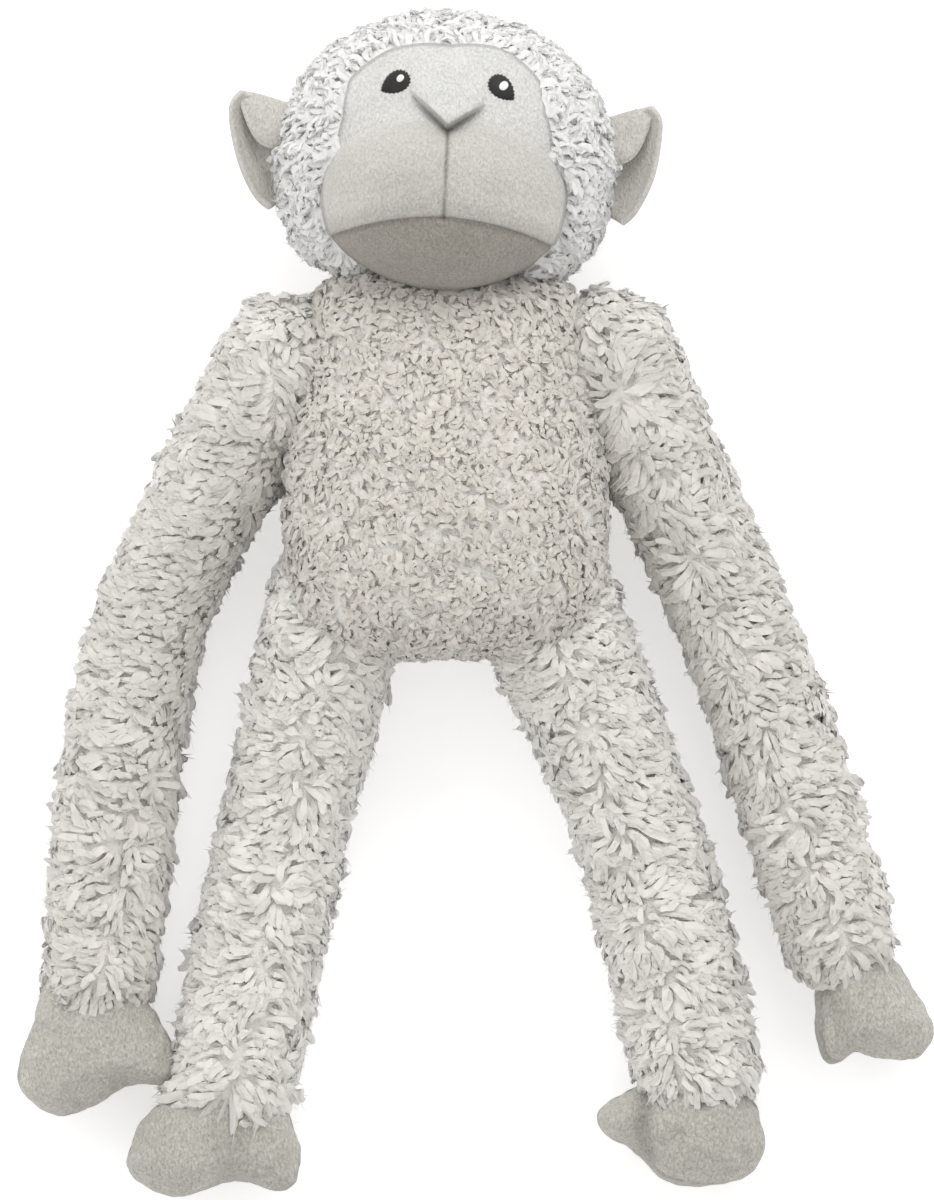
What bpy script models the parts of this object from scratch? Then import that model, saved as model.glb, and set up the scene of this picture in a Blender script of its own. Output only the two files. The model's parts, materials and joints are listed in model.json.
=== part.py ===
"""A plush monkey lying on its back: fur sleeves over stuffing, jointed where the fabric bends.

Metres, +Z up. The belly faces +Z, the head points to +Y, and the origin is the centre of
the patch of the back that the toy rests on. "left" is the -X side.
"""

import math

import bmesh
import bpy
from mathutils import Matrix, Vector

# Clearances
PIECE_GAP = 0.0003  # between two pieces of one body
JOINT_GAP = 0.0008  # between the two sides of a joint
CUTTER_REACH = 0.3  # longer than anything a cutter crosses

# Fabric
FUR_WALL = 0.0075  # backing cloth and the pile's mean height
VELOUR_WALL = 0.003  # short-pile panels of the face, hands and feet
EMBROIDERY = 0.001

# Torso
TORSO_HALF_WIDTH = 0.060
TORSO_HALF_LENGTH = 0.069
TORSO_HALF_DEPTH = 0.0475
TORSO_CENTRE_Y = -0.004
REST_FLAT_DEPTH = 0.002  # how much of the back is pressed flat by lying

# Neck
NECK_RADIUS = 0.026
NECK_PIVOT = Vector((0.0, 0.068, 0.050))

# Head, about its own centre: x across, y to the crown, z to the face
HEAD_CENTRE = Vector((0.0, 0.127, 0.0535))
HEAD_ROLL = math.radians(-2.7)
HEAD_RADII = Vector((0.0650, 0.0560, 0.0530))
FACE_OPENING_RADIUS = 0.0455
FACE_OPENING_Y = -0.005
FACE_OPENING_DEPTH = 0.014  # how far in front of the head's centre the face begins
MUZZLE_CENTRE = Vector((0.0, -0.020, 0.026))
MUZZLE_RADII = Vector((0.0490, 0.0360, 0.0420))
MOUTH_SEAM_Y = -0.038
MOUTH_SEAM_TILT = math.radians(14)
EYE_SPACING = 0.0422
EYE_HEIGHT = 0.0237
EYE_WIDTH = 0.0120
EYE_TALL = 0.0106
HIGHLIGHT_SIZE = 0.0035
NOSE_WIDTH = 0.026
NOSE_Y = 0.012

# Ears, about the head's centre
EAR_CENTRE = Vector((0.0740, -0.0030, -0.0010))
EAR_BACK_RADII = Vector((0.0120, 0.0220, 0.0036))
EAR_LOBE_RADII = Vector((0.0085, 0.0140, 0.0030))
EAR_LOBE_RISE = 0.007
EAR_HINGE_X = 0.0665

# Arms: where the shoulder, elbow and wrist bend, and the fingertip
ARM_RADIUS = 0.0255
SHOULDER_RADIUS = 0.0255
WRIST_RADIUS = 0.0205
LEFT_ARM = (
    Vector((-0.062, 0.046, 0.050)),
    Vector((-0.118, -0.066, 0.026)),
    Vector((-0.137, -0.201, 0.024)),
    Vector((-0.150, -0.252, 0.022)),
)
RIGHT_ARM = (
    Vector((0.064, 0.048, 0.050)),
    Vector((0.117, -0.068, 0.026)),
    Vector((0.156, -0.187, 0.024)),
    Vector((0.182, -0.230, 0.022)),
)

# Legs: where the hip, knee and ankle bend, and the toe
LEG_RADIUS = 0.0265
HIP_RADIUS = 0.0255
ANKLE_RADIUS = 0.0225
LEFT_LEG = (
    Vector((-0.042, -0.051, 0.044)),
    Vector((-0.066, -0.150, 0.027)),
    Vector((-0.084, -0.241, 0.025)),
    Vector((-0.102, -0.280, 0.024)),
)
RIGHT_LEG = (
    Vector((0.038, -0.052, 0.044)),
    Vector((0.078, -0.150, 0.027)),
    Vector((0.099, -0.239, 0.025)),
    Vector((0.103, -0.280, 0.024)),
)

# Hands and feet: the mitten's half width, reach past the joint and half depth, and its thumb or big toe
HAND_HALF_WIDTH = 0.0225
HAND_LENGTH = 0.047
HAND_HALF_DEPTH = 0.0150
FOOT_HALF_WIDTH = 0.0245
FOOT_LENGTH = 0.039
FOOT_HALF_DEPTH = 0.0190
THUMB_LENGTH = 0.012
TOE_LENGTH = 0.015
MITTEN_BEND = math.radians(35)  # how far a hand or a foot turns from its limb

ROUND_SEGMENTS = 14
ARC_STEPS = 3


def clear_scene():
    for old in list(bpy.data.objects):
        bpy.data.objects.remove(old, do_unlink=True)


def material(name, colour, roughness):
    made = bpy.data.materials.new(name)
    made.use_nodes = True
    shader = made.node_tree.nodes["Principled BSDF"]
    shader.inputs["Base Color"].default_value = (*colour, 1.0)
    shader.inputs["Roughness"].default_value = roughness
    shader.inputs["Metallic"].default_value = 0.0
    made.diffuse_color = (*colour, 1.0)
    return made


def add_object(name, mesh_builder, surface=None):
    """A new object from a bmesh that now belongs to it."""
    bmesh.ops.recalc_face_normals(mesh_builder, faces=mesh_builder.faces)
    mesh = bpy.data.meshes.new(name)
    mesh_builder.to_mesh(mesh)
    mesh_builder.free()
    made = bpy.data.objects.new(name, mesh)
    bpy.context.scene.collection.objects.link(made)
    if surface:
        mesh.materials.append(surface)
    return made


def add_cutter(name, mesh_builder):
    made = add_object(name, mesh_builder)
    made.hide_render = True
    made.display_type = "WIRE"
    return made


def combine(target, other, operation):
    """Cut, keep or join by another object, exactly."""
    step = target.modifiers.new(other.name, "BOOLEAN")
    step.operation = operation
    step.solver = "EXACT"
    step.object = other


def ellipsoid_mesh(radii, centre=(0.0, 0.0, 0.0), segments=18, rings=10):
    made = bmesh.new()
    place = Matrix.Translation(centre) @ Matrix.Diagonal((*radii, 1.0))
    bmesh.ops.create_uvsphere(made, u_segments=segments, v_segments=rings, radius=1.0, matrix=place)
    bmesh.ops.triangulate(made, faces=made.faces)
    return made


def box_mesh(size, centre=(0.0, 0.0, 0.0), turn=None):
    made = bmesh.new()
    place = Matrix.Translation(centre) @ (turn or Matrix()) @ Matrix.Diagonal((*size, 1.0))
    bmesh.ops.create_cube(made, size=1.0, matrix=place)
    return made


def cylinder_mesh(radii, length, centre=(0.0, 0.0, 0.0), segments=24):
    made = bmesh.new()
    place = Matrix.Translation(centre) @ Matrix.Diagonal((*radii, 1.0, 1.0))
    bmesh.ops.create_cone(
        made, cap_ends=True, segments=segments, radius1=1.0, radius2=1.0, depth=length, matrix=place
    )
    return made


def aim(direction):
    """The turn that points local +Z along a direction and keeps local +Y towards the sky."""
    along = direction.normalized()
    across = Vector((0.0, 0.0, 1.0)).cross(along).normalized()
    sky = along.cross(across)
    return Matrix((across, sky, along)).transposed().to_4x4()


def spun(points):
    """A closed body from a half outline of (radius, height) points, turned about Z."""
    made = bmesh.new()
    corners = [made.verts.new((radius, 0.0, height)) for radius, height in points]
    edges = [made.edges.new(pair) for pair in zip(corners, corners[1:])]
    bmesh.ops.spin(
        made,
        geom=corners + edges,
        cent=(0.0, 0.0, 0.0),
        axis=(0.0, 0.0, 1.0),
        angle=math.tau,
        steps=ROUND_SEGMENTS,
        use_merge=True,
    )
    bmesh.ops.remove_doubles(made, verts=made.verts, dist=1e-6)
    return made


def dome_points(radius, pivot, start, start_radius):
    """Half outline from the tip of a dome round the pivot back to the open end."""
    first = 0.0 if start < pivot - radius else math.asin(max(-1.0, min(0.0, (start - pivot) / radius)))
    if start >= pivot:
        first = 0.0
    points = []
    for step in range(ARC_STEPS + 1):
        angle = math.pi / 2 + (first - math.pi / 2) * step / ARC_STEPS
        points.append((radius * math.cos(angle), pivot + radius * math.sin(angle)))
    points[0] = (0.0, pivot + radius)
    if first == 0.0:
        points.append((start_radius, start))
    return points


def sleeve(name, surface, place, radius, pivot, start, start_radius):
    """A fur cup: closed by a dome round the joint it carries, and open where it begins."""
    outer = dome_points(radius, pivot, start, start_radius)
    inner = dome_points(radius - FUR_WALL, pivot, start, start_radius - FUR_WALL)
    made = add_object(name, spun(outer + inner[::-1]), surface)
    made.matrix_world = place
    return made


def filling(name, surface, place, radius, pivot, start, start_radius):
    """The stuffing inside a fur cup."""
    inset = FUR_WALL + PIECE_GAP
    outline = dome_points(radius - inset, pivot, start + PIECE_GAP, start_radius - inset)
    made = add_object(name, spun(outline + [(0.0, outline[-1][1])]), surface)
    made.matrix_world = place
    return made


def ball(prefix, fur, stuffing, pivot, direction, radius):
    """A shoulder or a hip: a fur cup round the pivot that opens towards the body."""
    place = Matrix.Translation(pivot) @ aim(direction)
    back = -0.6 * radius
    sleeve(f"{prefix}_fur", fur, place, radius, 0.0, back, radius)
    inset = FUR_WALL + PIECE_GAP
    core = dome_points(radius - inset, 0.0, back + PIECE_GAP, radius - inset)
    made = add_object(f"{prefix}_stuffing", spun(core + [(0.0, core[-1][1])]), stuffing)
    made.matrix_world = place


def segment(prefix, fur, stuffing, first, second, first_radius, start_radius, end_radius):
    """One length of a limb, from clear of the joint before it to the dome round the next one."""
    direction = second - first
    place = Matrix.Translation(first) @ aim(direction)
    start = first_radius + JOINT_GAP
    sizes = (end_radius, direction.length, start, start_radius)
    sleeve(f"{prefix}_fur", fur, place, *sizes)
    filling(f"{prefix}_stuffing", stuffing, place, *sizes)


def mitten_cage(half_width, length, half_depth, thumb, start, thumb_side):
    """The control cage of a hand or a foot, pointing along local +Z, with a thumb on one side."""
    made = bmesh.new()
    middle = start + (length - start) / 2
    size = (2.2 * half_width, 2.3 * half_depth, 1.15 * (length - start))
    place = Matrix.Translation((0.0, 0.0, middle)) @ Matrix.Diagonal((*size, 1.0))
    bmesh.ops.create_cube(made, size=1.0, matrix=place)
    side = [face for face in made.faces if face.normal.x * thumb_side > 0.9]
    grown = bmesh.ops.extrude_face_region(made, geom=side)
    bmesh.ops.delete(made, geom=side, context="FACES_ONLY")
    tips = [item for item in grown["geom"] if isinstance(item, bmesh.types.BMVert)]
    bmesh.ops.translate(made, verts=tips, vec=(thumb_side * thumb, 0.0, 0.0))
    centre = sum((vert.co for vert in tips), Vector()) / len(tips)
    bmesh.ops.scale(made, verts=tips, vec=(1.0, 0.75, 0.7), space=Matrix.Translation(-centre))
    return made


def mitten(prefix, top, under, velour, sole, stuffing, joint, direction, limb_radius, sizes, thumb_side):
    """A hand or a foot: an upper and an under panel sewn round a stuffed core."""
    place = Matrix.Translation(joint) @ aim(direction)
    start = (limb_radius + JOINT_GAP) * math.tan(MITTEN_BEND / 2) + JOINT_GAP

    socket = add_cutter(f"{prefix}_socket", ellipsoid_mesh([limb_radius + JOINT_GAP] * 3, segments=16, rings=10))
    socket.matrix_world = place
    reach = CUTTER_REACH
    behind = add_cutter(f"{prefix}_behind", box_mesh((reach, reach, reach), (0.0, 0.0, start - reach / 2)))
    behind.matrix_world = place

    def body(name, inset, surface=None):
        made = add_object(name, mitten_cage(*sizes, start - 0.004, thumb_side), surface)
        made.matrix_world = place
        smooth = made.modifiers.new("rounded", "SUBSURF")
        smooth.levels = 2
        smooth.render_levels = 2
        if inset:
            shrink = made.modifiers.new("inside the cloth", "DISPLACE")
            shrink.mid_level = 0.0
            shrink.strength = -inset
        return made

    hollow = body(f"{prefix}_hollow", VELOUR_WALL)
    hollow.hide_render = True
    hollow.display_type = "WIRE"
    for name, surface, above in ((top, velour, 1.0), (under, sole, -1.0)):
        panel = body(f"{prefix}_{name}", 0.0, surface)
        offset = above * (reach / 2 + PIECE_GAP / 2)
        half = add_cutter(f"{prefix}_{name}_half", box_mesh((reach, reach, reach), (0.0, offset, 0.0)))
        half.matrix_world = place
        combine(panel, behind, "DIFFERENCE")
        combine(panel, half, "INTERSECT")
        for cutter in (hollow, socket):
            combine(panel, cutter, "DIFFERENCE")
    core = body(f"{prefix}_stuffing", VELOUR_WALL + PIECE_GAP, stuffing)
    for cutter in (behind, socket):
        combine(core, cutter, "DIFFERENCE")


def limb_notch(name, joint, direction, radius):
    """The room in the torso for a limb: round at the joint and open along the limb."""
    flat = Vector((direction.x, direction.y, 0.0)).normalized()
    room = radius + JOINT_GAP
    place = Matrix.Translation((joint.x, joint.y, 0.0)) @ Matrix.Rotation(math.atan2(flat.y, flat.x), 4, "Z")
    made = cylinder_mesh((room, room), CUTTER_REACH)
    outward = [vert for vert in made.verts if vert.co.x > 0.01 * room]
    bmesh.ops.translate(made, verts=outward, vec=(CUTTER_REACH, 0.0, 0.0))
    notch = add_cutter(name, made)
    notch.matrix_world = place
    return notch


def torso(fur, stuffing, limbs):
    radii = Vector((TORSO_HALF_WIDTH, TORSO_HALF_LENGTH, TORSO_HALF_DEPTH))
    centre = Vector((0.0, TORSO_CENTRE_Y, TORSO_HALF_DEPTH - REST_FLAT_DEPTH))
    notches = [
        limb_notch(f"{name}_notch", joints[0], joints[1] - joints[0], radius)
        for name, joints, radius in limbs
    ]
    neck = add_cutter("neck_socket", ellipsoid_mesh([NECK_RADIUS + JOINT_GAP] * 3, NECK_PIVOT, 16, 10))
    reach = CUTTER_REACH
    floor = add_cutter("floor", box_mesh((reach, reach, reach), (0.0, 0.0, -reach / 2)))

    def body(name, surface):
        made = ellipsoid_mesh((1.0, 1.0, 1.0), segments=22, rings=12)
        for vert in made.verts:
            squared = [math.copysign(abs(value) ** 0.8, value) for value in vert.co]
            vert.co = Vector(squared)
        bmesh.ops.scale(made, verts=made.verts, vec=radii)
        body_object = add_object(name, made, surface)
        body_object.location = centre
        return body_object

    for name, above in (("front", 1.0), ("back", -1.0)):
        panel = body(f"torso_{name}_fur", fur)
        wall = panel.modifiers.new("fur", "SOLIDIFY")
        wall.thickness = FUR_WALL
        wall.offset = -1.0
        middle = centre.z + above * (reach / 2 + PIECE_GAP / 2)
        half = add_cutter(f"torso_{name}_half", box_mesh((reach, reach, reach), (0.0, 0.0, middle)))
        combine(panel, half, "INTERSECT")
        for cutter in [*notches, neck]:
            combine(panel, cutter, "DIFFERENCE")
        if above < 0:
            combine(panel, floor, "DIFFERENCE")
    core = body("torso_stuffing", stuffing)
    shrink = core.modifiers.new("inside the fur", "DISPLACE")
    shrink.mid_level = 0.0
    shrink.strength = -(FUR_WALL + PIECE_GAP)
    for cutter in [*notches, neck]:
        combine(core, cutter, "DIFFERENCE")


def neck(fur, stuffing):
    half_band = 0.55
    wall = FUR_WALL
    outer = []
    for step in range(ARC_STEPS + 1):
        angle = half_band * (2 * step / ARC_STEPS - 1)
        outer.append((NECK_RADIUS * math.cos(angle), NECK_RADIUS * math.sin(angle)))
    inner = NECK_RADIUS * math.cos(half_band) - 0.5 * wall
    top = outer[-1][1]
    ring = outer + [(inner, top), (inner, -top), outer[0]]
    place = Matrix.Translation(NECK_PIVOT) @ Matrix.Rotation(-math.pi / 2, 4, "X")
    band = spun(ring)
    made = add_object("neck_fur_band", band, fur)
    made.matrix_world = place
    core_radius = inner - PIECE_GAP
    plug = [(0.0, -top), (core_radius, -top), (core_radius, top), (0.0, top)]
    core = add_object("neck_stuffing", spun(plug), stuffing)
    core.matrix_world = place


def grown(radii, by):
    return Vector([value + by for value in radii])


def half_space(name, point, turn, side):
    """A big box whose one face passes through a point."""
    reach = CUTTER_REACH
    made = add_cutter(name, box_mesh((reach, reach, reach), (0.0, side * reach / 2, 0.0)))
    made.matrix_local = Matrix.Translation(point) @ turn
    return made


def head(fur, velour, chin, thread, shine, stuffing):
    frame = bpy.data.objects.new("head_frame", None)
    bpy.context.scene.collection.objects.link(frame)
    frame.matrix_world = Matrix.Translation(HEAD_CENTRE) @ Matrix.Rotation(HEAD_ROLL, 4, "Z")

    def in_head(made):
        made.parent = frame
        return made

    inside = grown(HEAD_RADII, -FUR_WALL)
    face_radii = grown(inside, VELOUR_WALL)
    face_centre = Vector((0.0, FACE_OPENING_Y, FACE_OPENING_DEPTH + CUTTER_REACH / 2))
    hole_centre = face_centre - Vector((0.0, 0.0, PIECE_GAP))
    opening = in_head(
        add_cutter("face_opening", cylinder_mesh([FACE_OPENING_RADIUS + PIECE_GAP] * 2, CUTTER_REACH, hole_centre))
    )
    face_outline = in_head(
        add_cutter("face_outline", cylinder_mesh([FACE_OPENING_RADIUS] * 2, CUTTER_REACH, face_centre))
    )
    neck_room = add_cutter(
        "neck_room", ellipsoid_mesh([NECK_RADIUS + JOINT_GAP] * 3, NECK_PIVOT, 16, 10)
    )
    muzzle_room = in_head(
        add_cutter("muzzle_room", ellipsoid_mesh(grown(MUZZLE_RADII, PIECE_GAP), MUZZLE_CENTRE))
    )
    muzzle_inside = in_head(
        add_cutter("muzzle_inside", ellipsoid_mesh(grown(MUZZLE_RADII, -VELOUR_WALL), MUZZLE_CENTRE))
    )
    inside_cutter = in_head(add_cutter("inside_of_head", ellipsoid_mesh(inside, segments=22, rings=12)))

    hood = in_head(add_object("head_fur_hood", ellipsoid_mesh(HEAD_RADII, segments=22, rings=12), fur))
    for cutter in (inside_cutter, opening, muzzle_room, neck_room):
        combine(hood, cutter, "DIFFERENCE")

    core = in_head(
        add_object("head_stuffing", ellipsoid_mesh(grown(inside, -PIECE_GAP), segments=22, rings=12), stuffing)
    )
    combine(core, neck_room, "DIFFERENCE")

    face = in_head(add_object("face_panel", ellipsoid_mesh(face_radii, segments=22, rings=12), velour))
    combine(face, inside_cutter, "DIFFERENCE")
    combine(face, face_outline, "INTERSECT")
    combine(face, muzzle_room, "DIFFERENCE")

    seam_turn = Matrix.Rotation(MOUTH_SEAM_TILT, 4, "X")
    seam_point = Vector((0.0, MOUTH_SEAM_Y, MUZZLE_CENTRE.z))
    gap = Vector((0.0, PIECE_GAP / 2, 0.0))
    above = in_head(half_space("above_mouth", seam_point + gap, seam_turn, 1.0))
    below = in_head(half_space("below_mouth", seam_point - gap, seam_turn, -1.0))
    quarter = math.pi / 2
    pieces = (("muzzle_panel_left", velour, above, 1.0), ("muzzle_panel_right", velour, above, -1.0))
    for name, surface, part, side in (*pieces, ("chin_panel", chin, below, 0.0)):
        panel = in_head(add_object(name, ellipsoid_mesh(MUZZLE_RADII, MUZZLE_CENTRE), surface))
        if side:
            turn = Matrix.Rotation(quarter, 4, "Z")
            middle = in_head(half_space(f"{name}_half", Vector((-side * PIECE_GAP / 2, 0.0, 0.0)), turn, side))
            combine(panel, middle, "INTERSECT")
        combine(panel, part, "INTERSECT")
        for cutter in (muzzle_inside, inside_cutter, neck_room):
            combine(panel, cutter, "DIFFERENCE")
    padding_radii = grown(MUZZLE_RADII, -VELOUR_WALL - PIECE_GAP)
    padding = in_head(add_object("muzzle_stuffing", ellipsoid_mesh(padding_radii, MUZZLE_CENTRE), stuffing))
    combine(padding, inside_cutter, "DIFFERENCE")
    combine(padding, neck_room, "DIFFERENCE")

    face_skin = in_head(
        add_cutter("face_skin", ellipsoid_mesh(grown(face_radii, PIECE_GAP), segments=22, rings=12))
    )
    nose = bmesh.new()
    nose_place = Matrix.Translation((0.0, NOSE_Y, MUZZLE_CENTRE.z + 0.024))
    nose_turn = Matrix.Rotation(-quarter, 4, "Z")
    bmesh.ops.create_cone(
        nose,
        cap_ends=True,
        segments=3,
        radius1=NOSE_WIDTH / math.sqrt(3),
        radius2=NOSE_WIDTH / math.sqrt(3),
        depth=0.012,
        matrix=nose_place @ Matrix.Diagonal((1.0, 0.45, 1.0, 1.0)) @ nose_turn,
    )
    nose_fold = in_head(add_object("nose_fold", nose, velour))
    combine(nose_fold, face_skin, "DIFFERENCE")
    combine(nose_fold, muzzle_room, "DIFFERENCE")

    layers = (
        ("eye_patch", thread, PIECE_GAP, (EYE_WIDTH / 2, EYE_TALL / 2), 0.0),
        ("eye_highlight", shine, 2 * PIECE_GAP + EMBROIDERY, [HIGHLIGHT_SIZE / 2] * 2, 0.0015),
    )
    for layer, surface, lift, outline, shift in layers:
        for side, end in ((-1.0, "left"), (1.0, "right")):
            name = f"{layer}_{end}"
            under = in_head(
                add_cutter(f"{name}_under", ellipsoid_mesh(grown(face_radii, lift), segments=22, rings=12))
            )
            place = (side * EYE_SPACING / 2 + shift, EYE_HEIGHT, CUTTER_REACH / 2)
            edge = in_head(add_cutter(f"{name}_outline", cylinder_mesh(outline, CUTTER_REACH, place, 12)))
            patch = ellipsoid_mesh(grown(face_radii, lift + EMBROIDERY), segments=22, rings=12)
            patch_object = in_head(add_object(name, patch, surface))
            combine(patch_object, under, "DIFFERENCE")
            combine(patch_object, edge, "INTERSECT")

    hood_skin = in_head(
        add_cutter("hood_skin", ellipsoid_mesh(grown(HEAD_RADII, JOINT_GAP), segments=22, rings=12))
    )
    for side, end in ((-1.0, "left"), (1.0, "right")):
        hinge = bpy.data.objects.new(f"ear_{end}_hinge", None)
        bpy.context.scene.collection.objects.link(hinge)
        hinge.parent = frame
        hinge.location = (side * EAR_HINGE_X, 0.0, 0.0)
        centre = Vector((side * (EAR_CENTRE.x - EAR_HINGE_X), EAR_CENTRE.y, EAR_CENTRE.z))
        back = add_object(f"ear_back_{end}", ellipsoid_mesh(EAR_BACK_RADII, centre, 16, 8), velour)
        lobe_centre = centre + Vector((0.0, 0.006, EAR_LOBE_RISE))
        lobe = add_object(f"ear_lobe_{end}", ellipsoid_mesh(EAR_LOBE_RADII, lobe_centre, 14, 8), velour)
        for piece in (back, lobe):
            piece.parent = hinge
            combine(piece, hood_skin, "DIFFERENCE")


def limbs(fur, velour, sole, stuffing):
    arm_sizes = (HAND_HALF_WIDTH, HAND_LENGTH, HAND_HALF_DEPTH, THUMB_LENGTH)
    leg_sizes = (FOOT_HALF_WIDTH, FOOT_LENGTH, FOOT_HALF_DEPTH, TOE_LENGTH)
    for end, thumb_side, arm, leg in (("left", 1.0, LEFT_ARM, LEFT_LEG), ("right", -1.0, RIGHT_ARM, RIGHT_LEG)):
        shoulder, elbow, wrist, fingertip = arm
        ball(f"shoulder_{end}", fur, stuffing, shoulder, elbow - shoulder, SHOULDER_RADIUS)
        segment(f"upper_arm_{end}", fur, stuffing, shoulder, elbow, SHOULDER_RADIUS, SHOULDER_RADIUS, ARM_RADIUS)
        segment(f"forearm_{end}", fur, stuffing, elbow, wrist, ARM_RADIUS, ARM_RADIUS, WRIST_RADIUS)
        hip, knee, ankle, toe = leg
        ball(f"hip_{end}", fur, stuffing, hip, knee - hip, HIP_RADIUS)
        segment(f"thigh_{end}", fur, stuffing, hip, knee, HIP_RADIUS, HIP_RADIUS, LEG_RADIUS)
        segment(f"shin_{end}", fur, stuffing, knee, ankle, LEG_RADIUS, LEG_RADIUS, ANKLE_RADIUS)
        hand_names = (f"hand_{end}", "back_panel", "palm_panel")
        foot_names = (f"foot_{end}", "top_panel", "sole_panel")
        skins = (velour, sole, stuffing)
        mitten(*hand_names, *skins, wrist, fingertip - wrist, WRIST_RADIUS, arm_sizes, thumb_side)
        mitten(*foot_names, *skins, ankle, toe - ankle, ANKLE_RADIUS, leg_sizes, thumb_side)


def main():
    clear_scene()
    fur = material("curly_fur", (0.72, 0.69, 0.64), 0.95)
    velour = material("short_velour", (0.58, 0.56, 0.51), 0.9)
    face = material("face_velour", (0.70, 0.69, 0.65), 0.9)
    chin = material("chin_velour", (0.31, 0.28, 0.24), 0.9)
    thread = material("black_thread", (0.02, 0.02, 0.02), 0.6)
    shine = material("white_thread", (0.85, 0.85, 0.85), 0.6)
    stuffing = material("polyester_stuffing", (0.9, 0.9, 0.9), 1.0)
    limb_list = [
        ("left_arm", LEFT_ARM, max(SHOULDER_RADIUS, ARM_RADIUS)),
        ("right_arm", RIGHT_ARM, max(SHOULDER_RADIUS, ARM_RADIUS)),
        ("left_leg", LEFT_LEG, max(HIP_RADIUS, LEG_RADIUS)),
        ("right_leg", RIGHT_LEG, max(HIP_RADIUS, LEG_RADIUS)),
    ]
    torso(fur, stuffing, limb_list)
    neck(fur, stuffing)
    head(fur, face, chin, thread, shine, stuffing)
    limbs(fur, velour, velour, stuffing)


if __name__ == "__main__":
    main()
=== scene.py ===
"""The finish of a plush monkey: curly pile, short velour panels, seams and embroidered eyes.

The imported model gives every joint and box. Metres; the belly and the face look to +Z, the
head to +Y, and "left" is the -X side.
"""

import json
import math

import bmesh
import bpy
import numpy as np
from mathutils import Matrix, Vector, noise
from mathutils.bvhtree import BVHTree


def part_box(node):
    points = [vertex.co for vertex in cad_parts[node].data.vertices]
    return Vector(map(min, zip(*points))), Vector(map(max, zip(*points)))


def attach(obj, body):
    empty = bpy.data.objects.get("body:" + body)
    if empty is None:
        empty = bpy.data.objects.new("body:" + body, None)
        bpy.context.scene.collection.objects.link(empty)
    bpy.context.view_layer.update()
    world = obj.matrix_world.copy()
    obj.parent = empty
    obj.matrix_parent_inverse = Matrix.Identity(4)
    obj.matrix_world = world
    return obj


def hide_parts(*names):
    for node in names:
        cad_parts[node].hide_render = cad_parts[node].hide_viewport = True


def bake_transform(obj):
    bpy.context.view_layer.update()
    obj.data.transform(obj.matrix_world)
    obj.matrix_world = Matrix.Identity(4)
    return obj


bl_info = {
    "name": "Plush Monkey",
    "version": (1, 0, 0),
    "blender": (4, 5, 0),
    "location": "3D View > Sidebar > Plush",
    "description": "Builds the fur, velour and embroidery of a stuffed monkey round its packed frame",
    "category": "Object",
}

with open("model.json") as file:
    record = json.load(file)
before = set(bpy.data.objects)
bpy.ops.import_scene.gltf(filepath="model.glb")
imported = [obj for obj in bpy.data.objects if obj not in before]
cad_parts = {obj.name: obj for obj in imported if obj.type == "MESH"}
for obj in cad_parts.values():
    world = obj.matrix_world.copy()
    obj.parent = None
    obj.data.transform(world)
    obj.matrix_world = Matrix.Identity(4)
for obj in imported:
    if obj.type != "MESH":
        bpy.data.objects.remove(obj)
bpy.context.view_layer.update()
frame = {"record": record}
JOINTS = {joint["name"]: Vector(joint["pos_m"]) for joint in frame["record"]["behaviour"]["joints"]}
SIDES = (("left", -1.0), ("right", 1.0))
SKY = Vector((0.0, 0.0, 1.0))
LOCK_GIRTH = 0.155  # radius of a lock of unit length


def head_frame():
    """The head's centre and the turn of its face, from the two ear hinges."""
    left, right = JOINTS["ear_left_fold"], JOINTS["ear_right_fold"]
    across = (right - left).normalized()
    centre = (left + right) / 2
    up = SKY.cross(across).normalized()
    turn = Matrix((across, up, SKY)).transposed().to_4x4()
    return Matrix.Translation(centre) @ turn


HEAD = head_frame()


def length(name, default, description):
    return bpy.props.FloatProperty(name=name, description=description, default=default, unit="LENGTH", precision=4)


def share(name, default, description):
    return bpy.props.FloatProperty(name=name, description=description, default=default, min=0.0, max=1.0)


def colour(name, default, description):
    return bpy.props.FloatVectorProperty(
        name=name, description=description, default=default, subtype="COLOR", size=3, min=0.0, max=1.0
    )


class PileSettings(bpy.types.PropertyGroup):
    limb_length: length("Limb lock", 0.0104, "Length of a lock on the arms and legs")
    limb_thickness: length("Limb lock radius", 0.0017, "Radius of a lock on the arms and legs")
    limb_spacing: length("Limb spacing", 0.0029, "Distance between neighbouring locks on the limbs")
    torso_length: length("Torso curl", 0.0072, "Length of a curl on the torso")
    torso_thickness: length("Torso curl radius", 0.0015, "Radius of a curl on the torso")
    torso_spacing: length("Torso spacing", 0.0026, "Distance between neighbouring curls on the torso")
    head_length: length("Head lock", 0.0072, "Length of a lock on the hood")
    head_thickness: length("Head lock radius", 0.00155, "Radius of a lock on the hood")
    head_spacing: length("Head spacing", 0.0026, "Distance between neighbouring locks on the hood")
    tint: share("Tint", 0.015, "How much the locks differ in brightness")

    def cut(self, place):
        """The spacing, length and radius of the locks there."""
        return tuple(getattr(self, f"{place}_{size}") for size in ("spacing", "length", "thickness"))


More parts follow.
